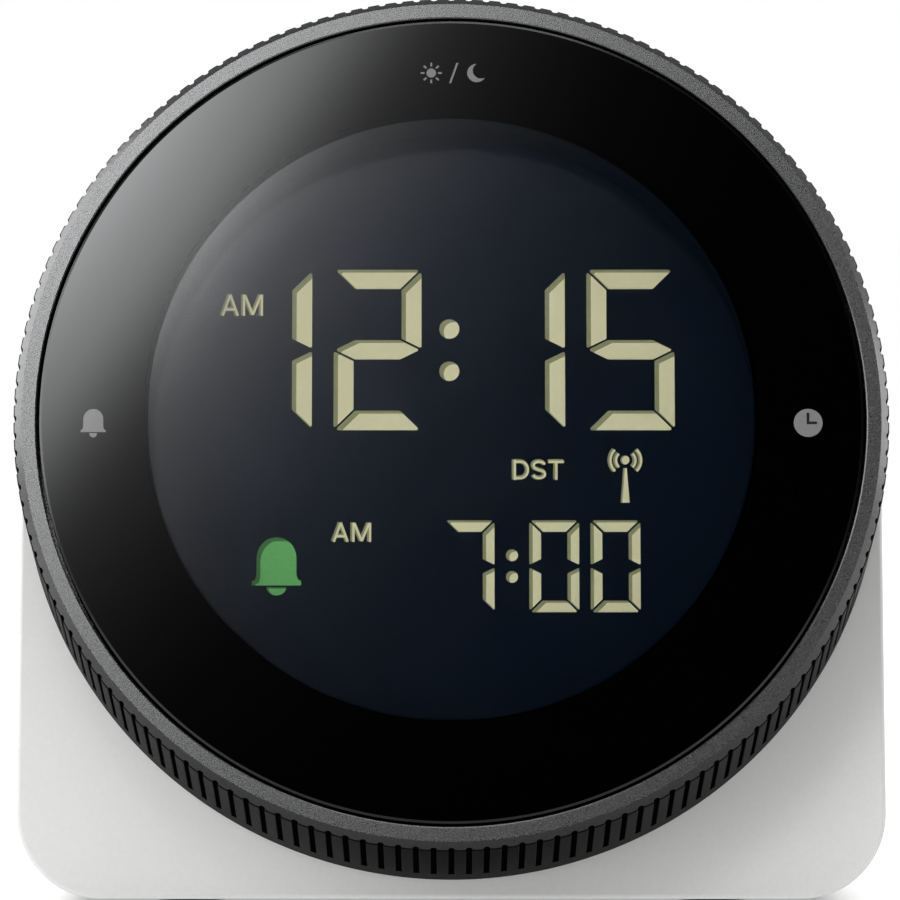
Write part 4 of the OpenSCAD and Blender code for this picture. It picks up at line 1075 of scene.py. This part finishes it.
def segment(name, w, h, t, g=0.14):
    """Corners of one bar of a seven-bar figure in a cell w by h, bars t broad, half gap g."""
    m = h / 2
    return {
        "a": [(g, h), (w - g, h), (w - t - g, h - t), (t + g, h - t)],
        "b": [(w, h - g), (w, m + g), (w - t, m + t / 2 + g), (w - t, h - t - g)],
        "c": [(w, g), (w - t, t + g), (w - t, m - t / 2 - g), (w, m - g)],
        "d": [(g, 0), (t + g, t), (w - t - g, t), (w - g, 0)],
        "e": [(0, g), (0, m - g), (t, m - t / 2 - g), (t, t + g)],
        "f": [(0, h - g), (t, h - t - g), (t, m + t / 2 + g), (0, m + g)],
        "g": [(g, m), (t + g, m + t / 2), (w - t - g, m + t / 2), (w - g, m), (w - t - g, m - t / 2),
              (t + g, m - t / 2)],
    }[name]


def clipped(subject, window):
    """The part of a convex outline inside another convex outline."""
    def area(points):
        return sum(a[0] * b[1] - b[0] * a[1] for a, b in zip(points, points[1:] + points[:1]))

    if area(window) < 0:
        window = window[::-1]
    result = list(subject)
    for a, b in zip(window, window[1:] + window[:1]):
        def side(p):
            return (b[0] - a[0]) * (p[1] - a[1]) - (b[1] - a[1]) * (p[0] - a[0])

        source, result = result, []
        for p, q in zip(source, source[1:] + source[:1]):
            sp, sq = side(p), side(q)
            if sp >= 0:
                result.append(p)
            if (sp >= 0) != (sq >= 0):
                f = sp / (sp - sq)
                result.append((p[0] + f * (q[0] - p[0]), p[1] + f * (q[1] - p[1])))
        if not result:
            return []
    return result


def soft_corners(points, r):
    """An outline with its corners rounded a little."""
    made = []
    n = len(points)
    for i in range(n):
        before, corner, after = points[i - 1], points[i], points[(i + 1) % n]
        made.extend(p[:2] for p in rounded(before, corner, after, r, 2))
    return made


def lit_bars(outlines, base, top, shadow_shift=PAINTED_SHADOW_SHIFT):
    """Adds each outline as a plate of painted shadow, and its lit part, moved right and down, on top of it."""
    for outline in outlines:
        base.slab(outline, *PAINTED_SHADOW_LEVEL)
        moved = [(x + shadow_shift[0], y - shadow_shift[1]) for x, y in outline]
        lit = clipped(moved, outline)
        if len(lit) > 2:
            top.slab(lit, *LIT_LEVEL)


def two_tones(name, base, top, finishes, nodes=()):
    """Puts the plates of painted shadow and the lit plates of one part of the display in the scene."""
    for made, shape, finish, stands_for in ((name + "_shade", base, finishes[0], nodes),
                                            (name + "_lit", top, finishes[1], ())):
        piece(made, shape.mesh(made, FACE), [finish], "stand", stands_for)


def figure(bars, right, low, w, h, t):
    return [soft_corners([(right - w + x, low + y) for x, y in segment(b, w, h, t)], 0.07 * t) for b in bars]


def display_row(name, figures, colon, low, w, h, t, dot_r, node):
    outlines = [bar for bars, right in figures for bar in figure(bars, right, low, w, h, t)]
    outlines += [disc((colon[0], v), dot_r, 32) for v in colon[1]]
    base, top = Shape(), Shape()
    # Thin bars get a narrower painted shadow
    lit_bars(outlines, base, top, (PAINTED_SHADOW_SHIFT[0] * min(1, t / 1.5), PAINTED_SHADOW_SHIFT[1] * min(1, t / 1.5)))
    two_tones(name, base, top, CREAM, [node])


display_row("time_bars", [("bc", -13.5), ("abged", -2.9), ("bc", 11.0), ("afgcd", 21.6)],
            (-0.2, (6.06, 10.27)), 0.2, 8.5, 16.0, 1.93, 0.97, "time_figures")
display_row("alarm_bars", [("abc", 4.15), ("abcdef", 12.3), ("abcdef", 18.2)], (5.83, (-12.16, -14.29)),
            -17.75, 4.8, 9.03, 1.13, 0.58, "alarm_figures")


def broad_line(path, w):
    """Outline of a line of breadth w along a path."""
    left, right = [], []
    for i, p in enumerate(path):
        a, b = Vector(path[max(i - 1, 0)]), Vector(path[min(i + 1, len(path) - 1)])
        side = (b - a).normalized()
        left.append((p[0] - side.y * w / 2, p[1] + side.x * w / 2))
        right.append((p[0] + side.y * w / 2, p[1] - side.x * w / 2))
    return left + right[::-1]


# Capitals one unit high: width, then the middle lines of their strokes
CAPITALS = {
    "A": (0.98, [[(0.11, 0), (0.49, 1)], [(0.87, 0), (0.49, 1)], [(0.27, 0.3), (0.71, 0.3)]]),
    "M": (1.1, [[(0.1, 0), (0.1, 1)], [(0.15, 0.97), (0.55, 0.04)], [(0.95, 0.97), (0.55, 0.04)],
                [(1.0, 0), (1.0, 1)]]),
    "D": (0.92, [[(0.1, 0), (0.1, 1)],
                 [(0.1, 0.91)] + bend((0.42, 0.5), 0.4, 0.41, 90, -90) + [(0.1, 0.09)]]),
    "S": (0.84, [bend((0.42, 0.715), 0.31, 0.195, 15, 262)[:-1]
                 + bend((0.42, 0.285), 0.32, 0.195, 82, -165)]),
    "T": (0.84, [[(0, 0.905), (0.84, 0.905)], [(0.42, 0), (0.42, 0.9)]]),
}
# Breadth of a stroke, whose plate is painted shadow, and of its lit part, and the lit part's shift to the right
# and down
STROKE, STROKE_LIT, STROKE_SHIFT = 0.42, 0.22, (0.09, -0.06)
# Strokes of one letter that cross lie at heights this far apart
STROKE_STEP = 0.002


def lit_stroke(path, base, top, step=0):
    """Adds a line of the display as a plate of painted shadow with a narrower lit line on it."""
    drop = STROKE_STEP * step
    base.plate(broad_line(path, STROKE), PAINTED_SHADOW_LEVEL[0], PAINTED_SHADOW_LEVEL[1] - drop)
    moved = [(x + STROKE_SHIFT[0], y + STROKE_SHIFT[1]) for x, y in path]
    top.plate(broad_line(moved, STROKE_LIT), LIT_LEVEL[0], LIT_LEVEL[1] - drop)


def capitals(words, box, base, top):
    """Capitals fitted into a box (left, low, right, high)."""
    gap = 0.1
    total = sum(CAPITALS[c][0] for c in words) + gap * (len(words) - 1)
    sx, sy = (box[2] - box[0]) / total, box[3] - box[1]
    start = 0.0
    for c in words:
        width, strokes = CAPITALS[c]
        for step, path in enumerate(strokes):
            lit_stroke([(box[0] + (start + x) * sx, box[1] + y * sy) for x, y in path], base, top, step)
        start += width + gap


letters_base, letters_top = Shape(), Shape()
for words, box in (("AM", (-22.47, 11.65, -18.28, 13.75)), ("AM", (-11.61, -10.79, -7.75, -8.92)),
                   ("DST", (5.86, -4.67, 10.78, -2.69))):
    capitals(words, box, letters_base, letters_top)
two_tones("display_letters", letters_base, letters_top, CREAM)

# Bell: dome and flare in one outline, clapper below it, each a plate of painted shadow with its lit part on it
BELL = (-16.83, -15.13, -10.38, 1.92, 2.37)
centre, foot_v, top_v, dome_w, flare_w = BELL
bell_base, bell_top = Shape(), Shape()
bell_base.slab(bell_outline(*BELL), *PAINTED_SHADOW_LEVEL)
rows = []
# The bell's lit part lies this far right and down on its painted shadow
dx, dy = 0.38, 0.3
steps = 39
for k in range(steps + 1):
    v = foot_v + (top_v - dy - foot_v) * k / steps
    t, t_up = (v - foot_v) / (top_v - foot_v), (v + dy - foot_v) / (top_v - foot_v)
    here, above = bell_half_width(t, dome_w, flare_w), bell_half_width(min(t_up, 1.0), dome_w, flare_w)
    left, right = max(-here, dx - above), min(here, dx + above)
    if right - left > 0.02:
        rows.append((left, right, v))
bell_top.slab([(centre + r, v) for l, r, v in rows] + [(centre + l, v) for l, r, v in reversed(rows)],
              *LIT_LEVEL)
clapper = bend((centre, -15.32), 0.95, 0.79, 180, 360, 20)
lit_bars([clapper], bell_base, bell_top, (0.25, 0.12))
two_tones("alarm_bell", bell_base, bell_top, GREEN, ["bell_sign"])

# Radio mast with its two waves on each side, as plates of painted shadow with lit parts on them
MAST = (16.75, -2.75)
mast_base, mast_top = Shape(), Shape()
lit_bars([disc(MAST, 0.44, 24), [(16.575, -3.54), (16.315, -6.97), (17.185, -6.97), (16.925, -3.54)]],
         mast_base, mast_top, (0.16, 0.05))
for r in (0.94, 1.48):
    for middle in (0, 180):
        lit_stroke(bend(MAST, r, r, middle - 45, middle + 45), mast_base, mast_top)
two_tones("radio_mast", mast_base, mast_top, CREAM, ["signal_sign"])

# Finishes of the CAD nodes that stay

FINISHES = (
    (black_abs, "ring_retainer lens_carrier gimbal_ring press_switches clock_chip aerial_cradles sounder"),
    (black_abs, "zone_switch_body reset_switch_body"),
    # The recess wall's blue tint is painted shade
    (recess_abs_painted_shade, "chassis"),
    (grey_acetal, "glide_washer encoder_body"),
    (pale_acetal, "light_plunger alarm_plunger clock_plunger light_guide backlight_leds encoder_pinion"),
    (foam_tape, "lens_tape contact_strips sounder_gasket"),
    (zinc_steel, "clamp_screws board_screws quartz_can spring_contacts plate_contacts"),
    (board_green, "main_board receiver_module"),
    (ferrite_rod_finish, "ferrite_rod"),
    (copper, "aerial_winding"),
    (cell_film, "battery_cells"),
    (wire_pvc, "inner_wires"),
)
for finish, nodes in FINISHES:
    for node in nodes.split():
        data = frame["nodes"][node].data
        for i in range(len(data.materials)):
            data.materials[i] = finish
        if not data.materials:
            data.materials.append(finish)

# Stage: floor, lamps, reflection card, camera

scene.view_settings.view_transform = "Standard"


def stage_mesh(name, corners, finish):
    """Puts one flat face of the studio in the scene."""
    mesh = bpy.data.meshes.new(name)
    mesh.from_pydata([tuple(c) for c in corners], [], [tuple(range(len(corners)))])
    mesh.materials.append(finish)
    made = put(name, mesh)
    return made


FLOOR_GLOW = 0.7
FOOTPRINT_Y = (plane_y(STAND_FRONT, FOOT_PROUD) + BACK_Y) / 2 * MM
FOOTPRINT_HALF = (STAND_HALF * MM, BACK_Y * MM - FOOTPRINT_Y)


def floor_finish():
    """Matt white table lit softly from below: it keeps the shadow, adds a painted shadow under the stand, and is
    white where nothing shades it.
    """
    made, tree, shader, place = new_material("matt_white_floor")
    rays = add_node(tree, "ShaderNodeLightPath").outputs
    seen = reckon(tree, "MAXIMUM", rays["Is Camera Ray"], rays["Is Transmission Ray"])
    rise = ranged(tree, vector_reckon(tree, "LENGTH", place), 0.08, 0.6, FLOOR_GLOW, 1.0)
    # How far outside the stand's footprint a place lies, in metres
    inside = vector_reckon(tree, "ABSOLUTE", vector_reckon(tree, "ADD", place, (0, -FOOTPRINT_Y, 0)))
    inside = vector_reckon(tree, "SUBTRACT", inside, FOOTPRINT_HALF + (0,))
    sides = add_node(tree, "ShaderNodeSeparateXYZ", {0: inside}).outputs
    outside = reckon(tree, "MAXIMUM", sides["X"], sides["Y"])

    def painted_shadow_share(first, last, least):
        """Share of the glow that is left near the stand and under it; the rest is painted shadow."""
        return ranged(tree, outside, first, last, least, 1.0, "SMOOTHSTEP")

    # Painted shadow: the glow fades under the stand, and its mirror image fades round the stand as well
    mirrored = reckon(tree, "MULTIPLY", rise, painted_shadow_share(0.0, 0.14, 0.0))
    looked_at = reckon(tree, "MULTIPLY", rise, painted_shadow_share(-0.012, 0.0, 0.05))
    lighting = reckon(tree, "MULTIPLY", painted_shadow_share(-0.006, 0.004, 0.0), FLOOR_GLOW)
    glow = blend(tree, seen, blend(tree, rays["Is Glossy Ray"], lighting, mirrored), looked_at)
    plug(tree, shader, {"Base Color": linear("#dcdcdc"), "Roughness": 0.9, "Specular IOR Level": 0.0,
                        "Emission Color": (1, 1, 1, 1), "Emission Strength": glow})
    return made


FLOOR = 4.0
stage_mesh("floor", [(-FLOOR, -FLOOR, 0), (FLOOR, -FLOOR, 0), (FLOOR, FLOOR, 0), (-FLOOR, FLOOR, 0)],
           floor_finish())

CAMERA_AWAY = 0.7038
camera_data = bpy.data.cameras.new("camera")
camera_data.lens = 293.9
camera_data.sensor_width = 36.0
camera_data.dof.use_dof = False
camera_data.clip_start = 0.01
camera = put("camera", camera_data)
camera.location = FACE_CENTRE + Vector((-0.000133, -CAMERA_AWAY, -0.00313))
camera.rotation_euler = (math.pi / 2, 0, 0)
scene.camera = camera

# Soft card that the lens mirrors: bright at its upper left, dark at its lower right
CARD_AWAY = 0.8
REFLECTION_ANGLE = math.radians(144)
# Share of the light that the lens's front mirrors, and the brightest exponent of that reflection
LENS_MIRRORS = 0.039
CARD_CAP = 0.08
CARD_REACH = (-0.13, 0.22)
CARD_HALF = 0.17
# Exponents of the reflection along the card, by mm on the lens: slope and start of two straight stretches, a
# step in the far one (from, to, and its two heights), and the fall to both sides
FAR_SLOPE, FAR_START = 0.133, -6.643
NEAR_SLOPE, NEAR_START = 0.088, -4.518
FAR_STEP = (22.0, 32.0, 0.0, 0.64)
SIDE_FALL = -0.0004
toward = 2 * FACE_OUT * -FACE_OUT.y + Vector((0, 1, 0))
card_middle = FACE_CENTRE + toward * CARD_AWAY
card_up = toward.cross(Vector((1, 0, 0)))
card_along = Vector((1, 0, 0)) * math.cos(REFLECTION_ANGLE) + card_up * math.sin(REFLECTION_ANGLE)
card_across = toward.cross(card_along)


def card_finish():
    """Light that falls off evenly along the card, as at the soft edge of a large lamp."""
    made = bpy.data.materials.new("reflection_card")
    made.use_nodes = True
    tree = made.node_tree
    tree.nodes.remove(tree.nodes["Principled BSDF"])
    place = add_node(tree, "ShaderNodeTexCoord").outputs["Object"]
    from_middle = vector_reckon(tree, "SUBTRACT", place, tuple(card_middle))
    reach = vector_reckon(tree, "DOT_PRODUCT", from_middle, tuple(card_along))
    # mm on the lens for a metre on the card
    on_lens = 1 / MM / (1 + CARD_AWAY / CAMERA_AWAY)
    along = reckon(tree, "MULTIPLY", reach, on_lens)
    far = reckon(tree, "MULTIPLY_ADD", along, FAR_SLOPE, FAR_START)
    far = reckon(tree, "ADD", far, ranged(tree, along, *FAR_STEP, "SMOOTHSTEP"))
    near = reckon(tree, "MULTIPLY_ADD", along, NEAR_SLOPE, NEAR_START)
    power = reckon(tree, "MINIMUM", reckon(tree, "MINIMUM", far, near), CARD_CAP)
    beside = vector_reckon(tree, "DOT_PRODUCT", from_middle, tuple(card_across * on_lens))
    power = reckon(tree, "MULTIPLY_ADD", reckon(tree, "MULTIPLY", beside, beside), SIDE_FALL, power)
    level = reckon(tree, "MULTIPLY", reckon(tree, "EXPONENT", power), 1 / LENS_MIRRORS)
    # What lies behind the lens mirrors the card but isn't lit by it
    rays = add_node(tree, "ShaderNodeLightPath").outputs
    level = reckon(tree, "MULTIPLY", level, reckon(tree, "LESS_THAN", rays["Diffuse Depth"], 0.5))
    glow = add_node(tree, "ShaderNodeEmission", {"Color": (0.98, 0.99, 1.0, 1.0), "Strength": level})
    tree.links.new(glow.outputs[0], tree.nodes["Material Output"].inputs["Surface"])
    return made


card_corners = [card_middle + card_along * s + card_across * t for s, t in
                ((CARD_REACH[0], -CARD_HALF), (CARD_REACH[1], -CARD_HALF),
                 (CARD_REACH[1], CARD_HALF), (CARD_REACH[0], CARD_HALF))]
card = stage_mesh("reflection_card", card_corners, card_finish())
card.visible_camera = False
card.visible_diffuse = False


def softbox(name, place, size, watts, mirrored):
    """Square area lamp aimed at the object, for what glossy surfaces mirror or for the light on the rest."""
    data = bpy.data.lights.new(name, "AREA")
    data.shape = "SQUARE"
    data.size = size
    data.energy = watts
    made = put(name, data)
    made.location = place
    aim = Vector((0, 0, 0.045)) - Vector(place)
    made.rotation_euler = aim.to_track_quat("-Z", "Y").to_euler()
    made.visible_camera = False
    made.visible_diffuse = not mirrored
    made.visible_transmission = False
    made.visible_glossy = mirrored


softbox("left_mirrored", (-0.95, 0.25, 0.5), 0.8, 8.5, True)
softbox("right_mirrored", (0.95, 0.2, 0.25), 0.35, 1.6, True)
softbox("top_mirrored", (0.0, -0.45, 1.0), 0.5, 3.0, True)
softbox("front_mirrored", (-0.8, -0.6, 0.5), 0.5, 5.0, True)
softbox("key_softbox", (-0.6, -0.9, 0.35), 0.7, 4.0, False)
softbox("left_softbox", (-0.85, 0.3, 0.45), 0.45, 1.4, False)
softbox("rear_softbox", (0.3, 0.9, 0.9), 0.7, 0.6, False)
softbox("top_softbox", (0.0, 0.35, 1.1), 0.6, 4.0, False)


def studio_world():
    """White behind the object and to the camera, a dim room in front of it, soft light all round."""
    world = bpy.data.worlds.new("studio")
    world.use_nodes = True
    tree = world.node_tree
    rays = add_node(tree, "ShaderNodeLightPath").outputs
    seen_way = add_node(tree, "ShaderNodeTexCoord").outputs["Generated"]
    way = add_node(tree, "ShaderNodeSeparateXYZ", {0: seen_way}).outputs
    behind = ranged(tree, way["Y"], -0.1, 0.4, 0.03, 1.0, "SMOOTHSTEP")
    above = ranged(tree, way["Z"], 0.35, 0.75, 1.0, 0.25, "SMOOTHSTEP")
    mirrored = reckon(tree, "MAXIMUM", rays["Is Glossy Ray"], rays["Is Transmission Ray"])
    soft = 0.42
    level = blend(tree, mirrored, soft, reckon(tree, "MULTIPLY", behind, above))
    level = blend(tree, rays["Is Camera Ray"], level, 1.0)
    plug(tree, tree.nodes["Background"], {"Color": (1, 1, 1, 1), "Strength": level})
    scene.world = world


studio_world()
